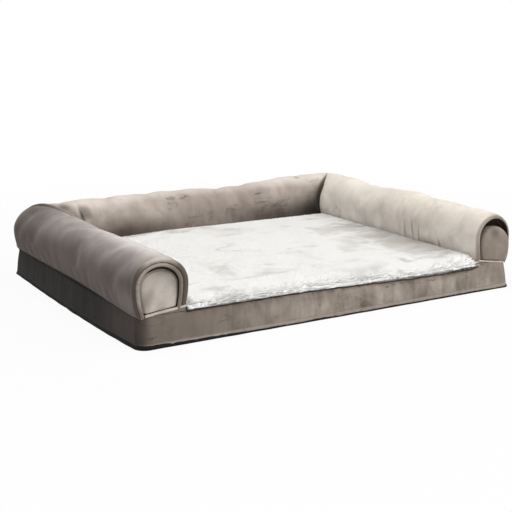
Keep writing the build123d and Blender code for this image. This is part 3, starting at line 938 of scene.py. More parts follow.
# Moulded rubber and foam are matt, the foam with open cells, and spun thread shines a little
rubber = solid_stuff("rubber_dots", "#2b2b2b", "#1f1f1f", 4 * MM, 0.7, relief=0.1 * MM)
foam = solid_stuff("polyurethane_foam", "#e6dcae", "#d6ca98", 4 * MM, 0.95, relief=0.6 * MM)
seam_thread = solid_stuff("polyester_thread", "#8f867c", "#766d64", 3 * MM, 0.6, relief=0.1 * MM)
hem_thread = solid_stuff("polyester_thread_dark", "#4a4643", "#353230", 3 * MM, 0.6, relief=0.1 * MM)

# Bolsters

left_swell = swell_curve((0, 0), (0.2, 1), (0.45, -1), (0.7, 0), (0.88, -3), (1, -8))
right_swell = swell_curve((0, 0), (0.28, 3.5), (0.4, 8), (0.5, 7), (0.62, 1), (0.7, 2), (0.8, 7), (1, 5))
back_swell = swell_curve((0, -8), (0.1, -4), (0.2, -2), (0.4, -1), (0.62, -3), (0.85, 5), (1, 6))

left_folds = (
    (0.07, 0.1, 0.05, 0.016, -58, 2.6 * MM),
    (0.15, 0.125, 0.055, 0.02, -48, 3.2 * MM),
    (0.265, 0.1, 0.06, 0.024, -54, 2.8 * MM),
    (0.37, 0.13, 0.05, 0.018, -44, 3.0 * MM),
    (0.505, 0.1, 0.05, 0.022, -62, 2.6 * MM),
    (0.6, 0.08, 0.04, 0.016, -66, 2.4 * MM),
    (0.2, 0.2, 0.035, 0.014, 60, 2.0 * MM),
    (0.43, 0.21, 0.035, 0.014, 72, 2.0 * MM),
)
right_folds = (
    (0.16, 0.215, 0.035, 0.008, 84, 3.0 * MM),
    (0.21, 0.235, 0.025, 0.007, 80, 2.5 * MM),
    (0.27, 0.23, 0.03, 0.008, 96, 2.5 * MM),
    (0.34, 0.225, 0.03, 0.01, 85, 2.0 * MM),
    (0.25, 0.15, 0.06, 0.02, 50, 2.5 * MM),
    (0.38, 0.15, 0.06, 0.022, 46, 3.0 * MM),
    (0.5, 0.16, 0.055, 0.02, 50, 3.0 * MM),
    (0.59, 0.18, 0.04, 0.012, 62, 3.0 * MM),
    (0.3, 0.06, 0.05, 0.018, -50, 3.0 * MM),
    (0.48, 0.07, 0.05, 0.018, -52, 3.0 * MM),
)
right_pinches = (
    (0.128, 0.243, 0.015, 0.006, 90, 3.0 * MM),
    (0.198, 0.225, 0.03, 0.006, 88, 5.0 * MM),
    (0.222, 0.22, 0.032, 0.0055, 92, 3.6 * MM),
    (0.25, 0.228, 0.026, 0.006, 86, 4.0 * MM),
    (0.34, 0.235, 0.022, 0.006, 90, 3.0 * MM),
)
back_folds = (
    (0.2, 0.18, 0.05, 0.016, 110, 2.0 * MM),
    (0.33, 0.17, 0.05, 0.02, 75, 2.2 * MM),
    (0.47, 0.18, 0.055, 0.02, 100, 2.0 * MM),
    (0.6, 0.16, 0.05, 0.018, 70, 2.5 * MM),
    (0.7, 0.19, 0.04, 0.012, 105, 3.0 * MM),
    (0.77, 0.15, 0.035, 0.01, 60, 3.0 * MM),
    (0.3, 0.07, 0.05, 0.018, 80, 2.5 * MM),
    (0.52, 0.08, 0.05, 0.018, 100, 2.5 * MM),
    (0.7, 0.07, 0.05, 0.018, 75, 2.5 * MM),
)

# its recess is in the dark recess velvet, painted shade
left_bolster = bolster(
    "left_bolster",
    ARM_LENGTH,
    left_swell(ARM_LENGTH),
    arm_place(-1),
    (velvet_left, velvet_recess, velvet_rim),
    left_folds,
    11,
    rim=LEFT_RIM,
    boxing=12,
    grooves=(0.0, 0.1),
    growth=0.002,
    shift=LEFT_SHIFT,
    bending=5.0,
)
# its recess and the first rows of its rim are in the dark recess velvet, painted shade
right_bolster = bolster(
    "right_bolster",
    ARM_LENGTH,
    right_swell(ARM_LENGTH),
    arm_place(1),
    (velvet_right, velvet_recess, velvet_recess),
    right_folds,
    23,
    rim=RIGHT_RIM,
    boxing=4,
    growth=0.005,
    pinches=right_pinches,
    shift=RIGHT_SHIFT,
    bending=2.0,
)
back_bolster = bolster(
    "back_bolster",
    BACK_LENGTH,
    back_swell(BACK_LENGTH),
    back_place,
    (velvet_back, velvet_left),
    back_folds,
    37,
    mitre_at_start=True,
    grooves=(0.1, 1.0),
    growth=0.007,
    pinches=((0.142, 0.188, 0.021, 0.0085, 80, 11.0 * MM),),
    lap=LAP,
)


def fuller_corner(piece):
    """Lets the left back corner stand out over the wall."""
    points = points_of(piece)
    near = smooth_share(-points[:, 0], 0.405, 0.455) * smooth_share(points[:, 1], 0.02, 0.26)
    rise = np.clip((points[:, 2] - FLOOR_TOP) / (90 * MM), 0, 1)
    points[:, 0] -= 7 * MM * near * np.sin(math.pi * rise) ** 0.7
    put_points(piece, points)


MITRE_X, MITRE_Y = 0.362, 0.252  # inner side of the right mitre


def bowed_mitre(piece):
    """Lets the right arm's stuffing push the mitre seam over towards the back bolster."""
    points = points_of(piece)
    away = np.hypot(points[:, 0] - MITRE_X, points[:, 1] - MITRE_Y) / (42 * MM)
    rise = np.clip((points[:, 2] - FLOOR_TOP) / (104 * MM), 0, 1)
    points[:, 0] -= 14 * MM * np.exp(-(away**2)) * np.sin(math.pi * rise)
    put_points(piece, points)


for piece in (left_bolster, back_bolster):
    fuller_corner(piece)
for piece in (right_bolster, back_bolster):
    bowed_mitre(piece)

# Arm fronts


def front_loop(place, depth, inset, foot, count=ARCH_COLUMNS):
    """Closed loop of points round the arm's front outline, at a depth behind the front."""
    top = arch(bolster_section(ARM_LENGTH, 0), inset, foot, count)
    share = np.linspace(0, 1, 14)[1:-1, None]
    low = top[-1] * (1 - share) + top[0] * share
    outline = np.vstack([top, low])
    return place(np.column_stack([np.full(len(outline), depth), outline]))


def end_panel(name, side, material, rows, seed, tilt=0.0, shift=0.0, squash=1.0, spread=0.0):
    """Arch-shaped padded panel, from its back plate to its crown; rows are (depth, inset, foot).

    Its foot stands forward by tilt, it is moved outwards by shift, its height is squashed, and its outer
    side bulges low down by spread.
    """
    place = arm_place(side)
    piece = tube(name, np.array([front_loop(place, *row) for row in rows]), material)
    points = points_of(piece)
    share = np.clip((points[:, 2] - FLOOR_TOP) / (80 * MM), 0, 1)
    points[:, 1] -= np.where(points[:, 1] < rows[1][0] - FOOT_Y - 0.1 * MM, tilt * (1 - share), 0)
    outer = smooth_share(side * points[:, 0], FOOT_X - 40 * MM, FOOT_X - 12 * MM)
    low = 1 - smooth_share(points[:, 2] - FLOOR_TOP, 40 * MM, 85 * MM)
    points[:, 0] += side * (shift + spread * outer * low)
    points[:, 2] = FLOOR_TOP + 4 * MM + (points[:, 2] - FLOOR_TOP - 4 * MM) * squash
    wrinkle = ripple(points[:, 0] * side + 0.7 * points[:, 2], seed, 0.018, 0.05)
    wrinkle += ripple(points[:, 0] * side - 1.1 * points[:, 2], seed + 1, 0.03, 0.07)
    front = points[:, 1] < rows[2][0] - FOOT_Y
    points[:, 1] -= np.where(front, 0.45 * MM * wrinkle, 0)
    put_points(piece, points)
    return smoothed(piece)


def piping(name, side, material, depth, seed, inset, thickness, shift):
    """Velvet-covered cord round the panel, from the wall's top over the arch and down again."""
    path = arch(bolster_section(ARM_LENGTH, 0), inset, 0.0, 90)
    path[:, 0] -= shift
    step = np.gradient(path, axis=0)
    step /= np.linalg.norm(step, axis=1, keepdims=True)
    across = np.column_stack([-step[:, 1], step[:, 0]])
    length = np.linspace(0, 0.25, len(path))
    radius = thickness * (1 + 0.05 * ripple(length, seed, 0.012, 0.03))

    def line(cosine, sine):
        return np.column_stack([depth + radius * sine, path + across * (radius * cosine)[:, None]])

    return tube(name, arm_place(side)(round_rings(16, line)), material)


def welt(name, side, material, start, end, low, high, front, back):
    """Rounded strip of velvet under the panel, between two distances from the outer foot."""
    across = np.linspace(start, end, 30)
    sag = 0.35 * MM * ripple(across, 71 + side, 0.02, 0.05)
    middle, half = (low + high) / 2 + sag, (high - low) / 2
    centre, reach = (front + back) / 2, (back - front) / 2

    def line(cosine, sine):
        bulge, rise = (np.sign(part) * abs(part) ** 0.6 for part in (cosine, sine))
        return np.column_stack([np.full(30, centre + reach * bulge), across, middle + half * rise])

    return tube(name, arm_place(side)(round_rings(16, line)), material)


# Rows of a panel, as depth behind the arm's front, inset of the arch and height of the foot
LEFT_PANEL_ROWS = in_mm(
    *((15.5, 13.5, 5.5), (14.5, 14.5, 5.5), (13.4, 19.2, 6.0), (11.6, 19.6, 6.4), (10.2, 21.0, 7.4)),
    *((9.4, 24.0, 10.0), (9.0, 29.5, 15.0), (8.8, 37.0, 23.0), (8.7, 45.0, 33.0)),
)
RIGHT_PANEL_ROWS = in_mm(
    *((24.0, 15.6, 4.2), (14.0, 15.6, 4.2), (5.5, 15.7, 4.3), (2.4, 16.5, 5.0), (0.4, 18.6, 6.8)),
    *((-1.2, 21.5, 10.0), (-2.4, 26.5, 15.0), (-3.0, 33.0, 22.0), (-3.3, 41.0, 31.0)),
)

left_end_panel = end_panel(
    "left_end_panel_cloth",
    -1,
    velvet_panel,
    LEFT_PANEL_ROWS,
    41,
    tilt=6.0 * MM,
    shift=LEFT_SHIFT - 2 * MM,
    squash=0.925,
)
right_end_panel = end_panel(
    "right_end_panel_cloth",
    1,
    velvet_right_panel,
    RIGHT_PANEL_ROWS,
    43,
    shift=RIGHT_SHIFT,
    squash=0.84,
    spread=9 * MM,
)
left_piping = piping("left_piping_cord", -1, velvet_piping, 2.6 * MM, 51, 12.9 * MM, 3.3 * MM, LEFT_SHIFT)
# the right piping is in the dark recess velvet, painted shade deep in its recess
right_piping = piping("right_piping_cord", 1, velvet_recess, 18 * MM, 53, 15.4 * MM, 3.2 * MM, RIGHT_SHIFT)
left_welt = welt("left_welt", -1, velvet_welt, 13 * MM, 88 * MM, 0.3 * MM, 5.0 * MM, 0.2 * MM, 8 * MM)
right_welt = welt("right_welt", 1, velvet_welt, 9 * MM, 84 * MM, 0.3 * MM, 3.8 * MM, -1.0 * MM, 8 * MM)
left_cuff = welt("left_cuff", -1, velvet_front, 24 * MM, 86 * MM, -7.0 * MM, 0.8 * MM, 0.0, 8 * MM)
right_cuff = welt("right_cuff", 1, velvet_front, 22 * MM, 94 * MM, -7.0 * MM, 0.8 * MM, 0.0, 8 * MM)
for piece in (left_bolster, left_end_panel, left_piping, left_welt, left_cuff):
    settled_arm(piece, -1, 5.0 * MM, 6.0 * MM, 13 * MM)
for piece in (right_bolster, right_end_panel, right_piping, right_welt, right_cuff):
    settled_arm(piece, 1, 10.0 * MM, 4.0 * MM, 0.0)

# Walls

QUARTER = math.pi * WALL_CORNER / 2
STRAIGHT_X = 2 * (HALF_WIDTH - WALL_CORNER)
STRAIGHT_Y = 2 * (HALF_DEPTH - WALL_CORNER)
ROUND = 2 * STRAIGHT_X + 2 * STRAIGHT_Y + 4 * QUARTER
FRONT_END = STRAIGHT_X / 2 + QUARTER
SIDE_END = FRONT_END + STRAIGHT_Y + QUARTER
BACK_END = SIDE_END + STRAIGHT_X


def outline_point(along, pull):
    """Point and outward direction on the bed's rounded outline, drawn in by pull.

    The distance along it is measured anticlockwise from the middle of the front at the floor.
    """
    half_x, half_y = HALF_WIDTH - pull, HALF_DEPTH - pull
    x, y = half_x - WALL_CORNER, half_y - WALL_CORNER
    spans = (
        (STRAIGHT_X / 2, (0, -half_y), (x, 0), (0, -1)),
        (QUARTER, (x, -y), None, -90),
        (STRAIGHT_Y, (half_x, -y), (0, 2 * y), (1, 0)),
        (QUARTER, (x, y), None, 0),
        (STRAIGHT_X, (x, half_y), (-2 * x, 0), (0, 1)),
        (QUARTER, (-x, y), None, 90),
        (STRAIGHT_Y, (-half_x, y), (0, -2 * y), (-1, 0)),
        (QUARTER, (-x, -y), None, 180),
        (STRAIGHT_X / 2, (-x, -half_y), (x, 0), (0, -1)),
    )
    along = along % ROUND
    for length, start, run, out in spans:
        if along <= length:
            break
        along -= length
    share = along / length
    if run is None:
        angle = math.radians(out + 90 * share)
        out = (math.cos(angle), math.sin(angle))
        return np.array([start[0] + WALL_CORNER * out[0], start[1] + WALL_CORNER * out[1], *out])
    return np.array([start[0] + share * run[0], start[1] + share * run[1], *out])


def wall(name, start, end, material, seed, low=WALL_LOW, high=None, tuck=True, gathered=1.0):
    """Stretch of the leaning side wall, gathered along its seams and slack between them."""
    high = WALL_TOP if high is None else high
    places = np.linspace(start, end, max(4, round((end - start) / (3.6 * MM))))
    shares = (0, 0.03, 0.08, 0.17, 0.28, 0.4, 0.52, 0.64, 0.75, 0.84, 0.91, 0.96)
    rows = [(low + (high - low) * share, 0.0) for share in shares]
    if tuck:
        turned = ((0.7, 0.5), (0.1, 1.6), (0.1, 5), (0.1, 14))
        rows += [(high - down * MM, inwards * MM) for down, inwards in turned]
    else:
        rows += [(high, 0.0)]
    gathers = ripple(places, seed, 0.011, 0.03) * gathered
    pleats = ripple(places, seed + 1, 0.02, 0.055) * gathered
    slack = ripple(places, seed + 2, 0.06, 0.17)
    pinched = (np.clip(ripple(places, seed + 3, 0.03, 0.11), 0.3, 1.2) - 0.3) * gathered
    points = []
    for height, turned_in in rows:
        share = (height - low) / (high - low)
        belly = math.sin(math.pi * share)
        pull = WALL_DRAW_IN * height / WALL_TOP + turned_in
        # gathered at both seams, pleated and slack between them, with a roll above the hem
        push = MM * (0.8 * gathers * share**4 + 0.5 * gathers[::-1] * (1 - share) ** 4)
        push += MM * (0.65 * pleats * (0.4 + 0.6 * belly) + 1.0 * slack * belly + 1.2 * belly)
        push += 0.7 * MM * math.exp(-(((share - 0.06) / 0.05) ** 2))
        # pinched in here and there below the top seam
        push -= 2.4 * MM * pinched * share**2.5 * (0.5 if turned_in else 1)
        for place, outwards in zip(places, push):
            spot = outline_point(place, pull)
            points.append((spot[0] + spot[2] * outwards, spot[1] + spot[3] * outwards, height))
    return mesh_object(name, points, grid_faces(len(rows), len(places)), material)


def finished_wall(*facts, **settings):
    """A wall with its cloth's thickness."""
    piece = wall(*facts, **settings)
    out = points_of(piece)[:, :2].mean(0)
    normals = normals_of(piece)[:, :2].mean(0)
    if out @ normals < 0:
        piece.data.flip_normals()
    return smoothed(thickened(piece, WALL_CLOTH))


ZIP_HEIGHT = (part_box("zip_tape_upper")[0].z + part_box("zip_tape_lower")[1].z) / 2
ZIP_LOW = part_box("back_gusset_lower")[1].z
ZIP_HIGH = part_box("back_gusset_upper")[0].z
LAPPED = 2.5 * MM  # the walls lie over each other at their upright seams
front_wall = finished_wall("front_wall", -FRONT_END, FRONT_END, velvet_front, 61, gathered=1.7)
right_wall = finished_wall("right_wall", FRONT_END - LAPPED, SIDE_END + LAPPED, velvet_far_side, 64)
left_wall = finished_wall(
    "left_wall", -SIDE_END - LAPPED, -FRONT_END + LAPPED, velvet_side_painted_shade, 67, gathered=0.35
)
back_wall_upper = finished_wall("back_wall_upper", SIDE_END, BACK_END, velvet_far_side, 73, low=ZIP_HIGH)
back_wall_lower = finished_wall(
    "back_wall_lower", SIDE_END, BACK_END, velvet_far_side, 76, high=ZIP_LOW, tuck=False
)


ZIP_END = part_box("zip_top_stops")[1].x
SLACK_AT_ZIP = 5.5 * MM  # how far slack_side will draw the left end in


def sewn_past_zip(piece, edge, other_edge, lap):
    """Brings the edge of one back strip to the other strip's, past both ends of the zip."""
    points = points_of(piece)
    across = points[:, 0]
    beyond = np.where(across > 0, across, -across - SLACK_AT_ZIP) - ZIP_END
    near = smooth_share(beyond, 0, 8 * MM)
    share = np.clip((points[:, 2] - other_edge) / (edge - other_edge), 0, 1)
    rise = near * share * (ZIP_HEIGHT + lap - edge)
    points[:, 2] += rise
    points[:, 1] -= rise * WALL_DRAW_IN / WALL_TOP
    put_points(piece, points)


sewn_past_zip(back_wall_upper, ZIP_HIGH, WALL_TOP, -0.8 * MM)
sewn_past_zip(back_wall_lower, ZIP_LOW, 0.0, 0.8 * MM)
FACING_HALF = 0.42
FACING_LAP = 5 * MM  # behind the walls, above and below the zip's slot


def facing_strip():
    """Strip of lining between the zip and the foam, clear of the slider's inner plate."""
    columns = 60
    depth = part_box("zip_slider")[0].y - 0.5 * MM
    places = np.linspace(-FACING_HALF, FACING_HALF, columns)
    points = [(x, depth, z) for z in (ZIP_LOW - FACING_LAP, ZIP_HIGH + FACING_LAP) for x in places]
    return thickened(mesh_object("zip_facing", points, grid_faces(2, columns), lining), 0.4 * MM, offset=0)


zip_facing = facing_strip()

# Base


# Rings of the band, as share of its height and how far it stands out
BAND_RINGS = (
    (0, -2.0 * MM),
    (0, 0.4 * MM),
    (0.08, 1.0 * MM),
    (0.5, 0.9 * MM),
    (0.9, 0.6 * MM),
    (1, 0),
    (0.9, -1.2 * MM),
)


def base_band():
    """Canvas of the base turned up over the foot of the walls, uneven along its edge."""
    places = np.linspace(0, ROUND, round(ROUND / (5 * MM)) + 1)[:-1]
    top = 3.2 * MM + 0.8 * MM * ripple(places, 81, 0.05, 0.2)
    # it shows most at the left front corner
    corner = np.abs((places - (ROUND - FRONT_END) + ROUND / 2) % ROUND - ROUND / 2)
    top += 5.0 * MM * np.exp(-((corner / 0.2) ** 2))
    out = 1.3 * MM + 0.6 * MM * ripple(places, 83, 0.04, 0.11)
    rings = []
    for share, proud in BAND_RINGS:
        ring = []
        for place, height, outwards in zip(places, top, out):
            level = 0.3 * MM + share * height
            spot = outline_point(place, WALL_DRAW_IN * level / WALL_TOP)
            reach = proud + (outwards if 0 < share < 1 and proud > 0 else 0.5 * outwards)
            ring.append((spot[0] + spot[2] * reach, spot[1] + spot[3] * reach, level))
        rings.append(ring)
    rings = np.array(rings)
    rows, columns, _ = rings.shape
    faces = grid_faces(rows, columns, wrap=True)
    for column in range(columns):
        after = (column + 1) % columns
        faces.append(((rows - 1) * columns + column, (rows - 1) * columns + after, after, column))
    return mesh_object("base_band", rings, faces, canvas)


def base_sheet():
    """Canvas underside with a rounded outline, slightly slack."""
    columns, rows = 90, 70
    points = []
    for y_share in np.linspace(-1, 1, rows):
        for x_share in np.linspace(-1, 1, columns):
            x, y = x_share * (HALF_WIDTH - 0.5 * MM), y_share * (HALF_DEPTH - 0.5 * MM)
            corner_x, corner_y = abs(x) - (HALF_WIDTH - WALL_CORNER), abs(y) - (HALF_DEPTH - WALL_CORNER)
            if corner_x > 0 and corner_y > 0:
                over = math.hypot(corner_x, corner_y)
                limit = max(corner_x, corner_y)
                x -= math.copysign(corner_x * (1 - limit / over), x)
                y -= math.copysign(corner_y * (1 - limit / over), y)
            points.append((x, y, 1.0 * MM))
    points = np.array(points)
    points[:, 2] += 0.15 * MM * ripple(points[:, 0] + 0.4 * points[:, 1], 91, 0.06, 0.2)
    return thickened(mesh_object("base_sheet", points, grid_faces(rows, columns), canvas), 0.6 * MM, offset=0)


def slack_side(piece):
    """Lets the left side stand out in its middle and draw in towards the back corner."""
    points = points_of(piece)
    near = smooth_share(-points[:, 0], HALF_WIDTH - 0.12, HALF_WIDTH - 0.02)
    places = (-0.36, -0.3, -0.2, -0.05, 0.1, 0.2, 0.3, 0.36)
    shifts = (0, -2, -5, -5, -2, 1, 5, 6)
    points[:, 0] += MM * near * np.interp(points[:, 1], places, shifts)
    put_points(piece, points)


base_band_piece = base_band()
base_sheet_piece = base_sheet()

# Plush top


HANG_OUT = 0.42  # how far the plush's front edge stands out for each metre that it hangs down


def overhang(x):
    """How far the plush's front edge hangs below the wall's top."""
    return 8.5 * MM * smooth_share(x, -0.15, 0.25) * (1 - 0.5 * smooth_share(x, 0.33, 0.38))


def plush_base():
    """Padded cushion under the fur, crowned, rolled over the front seam and drawn in at its sides."""
    half = PLUSH_HIGH.x
    length = PLUSH_HIGH.y - PLUSH_LOW.y
    rows, columns = 110, 130
    across = np.linspace(-1, 1, columns)
    draw = np.random.default_rng(5)
    spans = ((-half, half), (0, length), (0.05, 0.12), (-1.6, 1.6))  # x, y, reach and rise in mm
    lumps = [[draw.uniform(*span) for span in spans] for _ in range(34)]
    rings = []
    front_rows = (0.0, 0.8 * MM, 2.4 * MM, 5 * MM, 9 * MM)
    for depth in np.concatenate([front_rows, np.linspace(14 * MM, length, rows)]):
        x = across * (half - 0.5 * MM)
        # rounded down at its sides and front, and less at the back, with a crown in its middle
        edge = np.minimum((half - np.abs(x)) / (12 * MM), 1)
        side_round = np.sqrt(np.clip(1 - (1 - edge) ** 2, 0, 1))
        front = min(depth / (20 * MM), 1)
        front_round = math.sqrt(1 - (1 - front) ** 2)
        back = min((length - depth) / (26 * MM), 1)
        back_round = 0.55 + 0.45 * math.sqrt(max(0, 1 - (1 - back) ** 2))
        crown = 5 * MM * (1 - across**2) * math.sin(math.pi * min(depth / length, 1)) ** 0.5
        height = (3.5 * MM + 14.5 * MM * front_round) * back_round * (0.5 + 0.5 * side_round)
        height = height + crown * front_round
        for at_x, at_y, reach, rise in lumps:
            spread = ((x - at_x) ** 2 + (depth - at_y) ** 2) / reach**2
            height = height + rise * MM * np.exp(-spread) * front_round
        # uneven along its front seam
        height = height + 0.8 * MM * ripple(x, 95, 0.02, 0.06) * math.exp(-((depth / 0.012) ** 2))
        front_shift = 1.2 * MM * ripple(x, 96, 0.03, 0.09) * math.exp(-((depth / 0.015) ** 2))
        hang = overhang(x) * math.exp(-((depth / 0.016) ** 2))
        y = PLUSH_LOW.y + depth + front_shift - HANG_OUT * hang
        bottom = WALL_TOP + 0.2 * MM - hang
        top = np.column_stack([x, y, bottom + 0.2 * MM + np.maximum(height, 1 * MM)])
        low = np.column_stack([x, y, bottom])[::-1][1:-1]
        rings.append(np.vstack([top, low]))
    return tube("plush_top", np.array(rings), fur_backing)


plush_top = plush_base()


def seam_roll(name, start, end, material):
    """Thin roll of seam allowance between the fur's front edge and the wall, dark as painted shade."""
    across = np.linspace(start, end, 240)
    hang = overhang(across)
    depth = PLUSH_LOW.y - 1.6 * MM + 0.5 * MM * ripple(across, 98, 0.03, 0.1) - HANG_OUT * hang
    height = WALL_TOP - 0.2 * MM + 0.6 * MM * ripple(across, 99, 0.025, 0.08) - hang
    radius = 1.5 * MM * (1 + 0.2 * ripple(across, 100, 0.02, 0.05))

    def line(cosine, sine):
        return np.column_stack([across, depth + radius * cosine, height + radius * sine])

    return tube(name, round_rings(12, line), material)


front_seam = seam_roll("front_seam", PLUSH_LOW.x - 2 * MM, PLUSH_HIGH.x + 8 * MM, velvet_recess)


def fibre_shape():
    """One tuft of fur: a closed three-sided spike of unit length, curved over towards +Y."""
    points = []
    for height, width, lean in ((0.0, 0.5, 0.0), (0.55, 0.4, 0.08)):
        for turn in (90, 210, 330):
            angle = math.radians(turn)
            points.append((width * math.cos(angle), lean + 0.2 * width * math.sin(angle), height))
    points.append((0.0, 0.42, 0.97))
    faces = [(2, 1, 0)]
    for side in range(3):
        after = (side + 1) % 3
        faces.append((side, after, after + 3, side + 3))
        faces.append((3 + side, 3 + after, 6))
    piece = mesh_object("fibre_shape", points, faces, fur_fibre)
    piece.hide_render = True
    return piece


def set_input(modifier, tree, name, value):
    """Sets a modifier's input by the name it has in its tree."""
    for item in tree.interface.items_tree:
        if item.item_type == "SOCKET" and item.in_out == "INPUT" and item.name == name:
            modifier[item.identifier] = value


def new_tree(name, inputs):
    """Geometry tree with a geometry input, named value inputs and a geometry output."""
    tree = bpy.data.node_groups.new(name, "GeometryNodeTree")
    tree.interface.new_socket("Geometry", in_out="INPUT", socket_type="NodeSocketGeometry")
    for key, kind in inputs.items():
        tree.interface.new_socket(key, in_out="INPUT", socket_type=f"NodeSocket{kind}")
    tree.interface.new_socket("Geometry", in_out="OUTPUT", socket_type="NodeSocketGeometry")
    return tree, add_node(tree, "NodeGroupInput").outputs


def aligned(tree, axis, vector, pivot="AUTO", **rotation):
    """Rotation that has its axis along a vector, from another rotation if one is given."""
    facts = {"Vector": vector, **rotation}
    return add_node(tree, "FunctionNodeAlignRotationToVector", facts, "Rotation", axis=axis, pivot_axis=pivot)


def turned_by(tree, rotation, angles):
    """Rotation turned further about its own axes."""
    more = add_node(tree, "FunctionNodeEulerToRotation", {"Euler": angles}, "Rotation")
    facts = {"Rotation": rotation, "Rotate By": more}
    return add_node(tree, "FunctionNodeRotateRotation", facts, "Rotation", rotation_space="LOCAL")


def finish_tree(tree, given, points, facts):
    """Puts the given shape on the points, as plain mesh in the given material, and sends it out."""
    shape = add_node(tree, "GeometryNodeObjectInfo", {"Object": given["Shape"]}, "Geometry")
    facts = {"Points": points, "Instance": shape, **facts}
    copies = add_node(tree, "GeometryNodeInstanceOnPoints", facts, "Instances")
    real = add_node(tree, "GeometryNodeRealizeInstances", {"Geometry": copies}, "Geometry")
    facts = {"Geometry": real, "Material": given["Material"]}
    dressed = add_node(tree, "GeometryNodeSetMaterial", facts, "Geometry")
    add_node(tree, "NodeGroupOutput", {"Geometry": dressed})
    return tree


LIE_DRIFT = 0.11  # size of the areas where the fur lies one way, in metres
LIE_LICK = 0.02  # size of the finer licks in it


def pile_tree():
    """Tufts over a surface, leaning along a lie that wanders, longer and shorter at random."""
    tree, given = new_tree(
        "fur_pile",
        {
            "Shape": "Object",
            "Density": "Float",
            "Length": "Float",
            "Width": "Float",
            "Seed": "Int",
            "Material": "Material",
        },
    )
    upward = add_node(tree, "GeometryNodeInputNormal", out="Normal")
    rise = add_node(tree, "ShaderNodeSeparateXYZ", {0: upward}, "Z")
    covered = add_node(tree, "FunctionNodeCompare", {0: rise, 1: 0.42}, 0, operation="GREATER_THAN")
    points = add_node(
        tree,
        "GeometryNodeDistributePointsOnFaces",
        {"Mesh": given["Geometry"], "Selection": covered, "Density": given["Density"], "Seed": given["Seed"]},
    )
    out = points.outputs["Normal"]
    place = add_node(tree, "GeometryNodeInputPosition", out="Position")
    drift, lick = (
        vectors(tree, "SUBTRACT", noise(tree, place, size, out="Color"), (0.5, 0.5, 0.5))
        for size in (LIE_DRIFT, LIE_LICK)
    )
    swing = vectors(tree, "MULTIPLY_ADD", drift, (2.0, 2.0, 0.0), (0.9, 0.5, 0.0))
    swing = vectors(tree, "MULTIPLY_ADD", lick, (0.9, 0.9, 0.0), swing)
    flat = vectors(tree, "SUBTRACT", swing, vectors(tree, "PROJECT", swing, out))
    stand, longer = (
        add_node(tree, "FunctionNodeRandomValue", {2: low, 3: high, "Seed": given["Seed"]}, 1)
        for low, high in ((0.02, 0.14), (0.65, 1.2))
    )
    lifted = add_node(tree, "ShaderNodeVectorMath", {0: out, "Scale": stand}, "Vector", operation="SCALE")
    aim = vectors(tree, "ADD", vectors(tree, "NORMALIZE", flat), lifted)
    turned = aligned(tree, "Y", out, "Z", Rotation=aligned(tree, "Z", aim))
    spin = add_node(
        tree,
        "FunctionNodeRandomValue",
        {0: (0.0, 0.0, -0.4), 1: (0.0, 0.0, 0.4), "Seed": given["Seed"]},
        0,
        data_type="FLOAT_VECTOR",
    )
    turned = turned_by(tree, turned, spin)
    length = maths(tree, "MULTIPLY", longer, given["Length"])
    size = add_node(
        tree, "ShaderNodeCombineXYZ", {"X": given["Width"], "Y": given["Width"], "Z": length}, "Vector"
    )
    return finish_tree(tree, given, points.outputs["Points"], {"Rotation": turned, "Scale": size})


def grown(name, surface, tree, settings):
    """Plain mesh of what a tree makes on a copy of a surface."""
    base = linked(name, surface.data.copy())
    modifier = base.modifiers.new("grow", "NODES")
    modifier.node_group = tree
    for key, value in settings.items():
        set_input(modifier, tree, key, value)
    return settle(base)


PILE_PIECES = 7
PILE_TUFTS = 17000  # in each piece
TUFT_LENGTH = 13 * MM
TUFT_WIDTH = 1.7 * MM
fibre = fibre_shape()
fur_tree = pile_tree()
pile_pieces = []
for number in range(PILE_PIECES):
    pile = grown(
        f"fur_pile_{number + 1}",
        plush_top,
        fur_tree,
        {
            "Shape": fibre,
            "Density": PILE_TUFTS / (2 * PLUSH_HIGH.x * (PLUSH_HIGH.y - PLUSH_LOW.y)),
            "Length": TUFT_LENGTH,
            "Width": TUFT_WIDTH,
            "Seed": 100 + number,
            "Material": fur_fibre,
        },
    )
    pile.data.shade_smooth()
    pile_pieces.append(pile)
bpy.data.objects.remove(fibre)

# Zip teeth, stitches and grip dots


def pip(name, rings, material):
    """Small rounded shape, from rings of (place along X, half width, half height)."""
    turns = np.linspace(0, 2 * math.pi, 7)[:-1]
    loops = [
        np.column_stack([np.full(6, place), half_width * np.cos(turns), half_height * np.sin(turns)])
        for place, half_width, half_height in rings
    ]
    made = tube(name, np.array(loops) * MM, material)
    made.hide_render = True
    return made


def row_tree():
    """Copies of a shape at even spacing along lines, lying along them with one side up."""
    tree, given = new_tree(
        "row",
        {"Shape": "Object", "Spacing": "Float", "Up": "Vector", "Turn": "Float", "Material": "Material"},
    )
    line = add_node(tree, "GeometryNodeMeshToCurve", {"Mesh": given["Geometry"]}, "Curve")
    even = add_node(
        tree, "GeometryNodeResampleCurve", {"Curve": line, "Length": given["Spacing"]}, "Curve", mode="LENGTH"
    )
    along = add_node(tree, "GeometryNodeInputTangent", out="Tangent")
    turned = aligned(tree, "Z", given["Up"], "X", Rotation=aligned(tree, "X", along))
    slant = add_node(tree, "ShaderNodeCombineXYZ", {"Z": given["Turn"]}, "Vector")
    return finish_tree(tree, given, even, {"Rotation": turned_by(tree, turned, slant)})


def lines_object(name, lines):
    """Mesh of open lines through points."""
    points, edges = [], []
    for line in lines:
        edges += [(len(points) + step, len(points) + step + 1) for step in range(len(line) - 1)]
        points += [tuple(point) for point in line]
    mesh = bpy.data.meshes.new(name)
    mesh.from_pydata(points, edges, [])
    return linked(name, mesh)


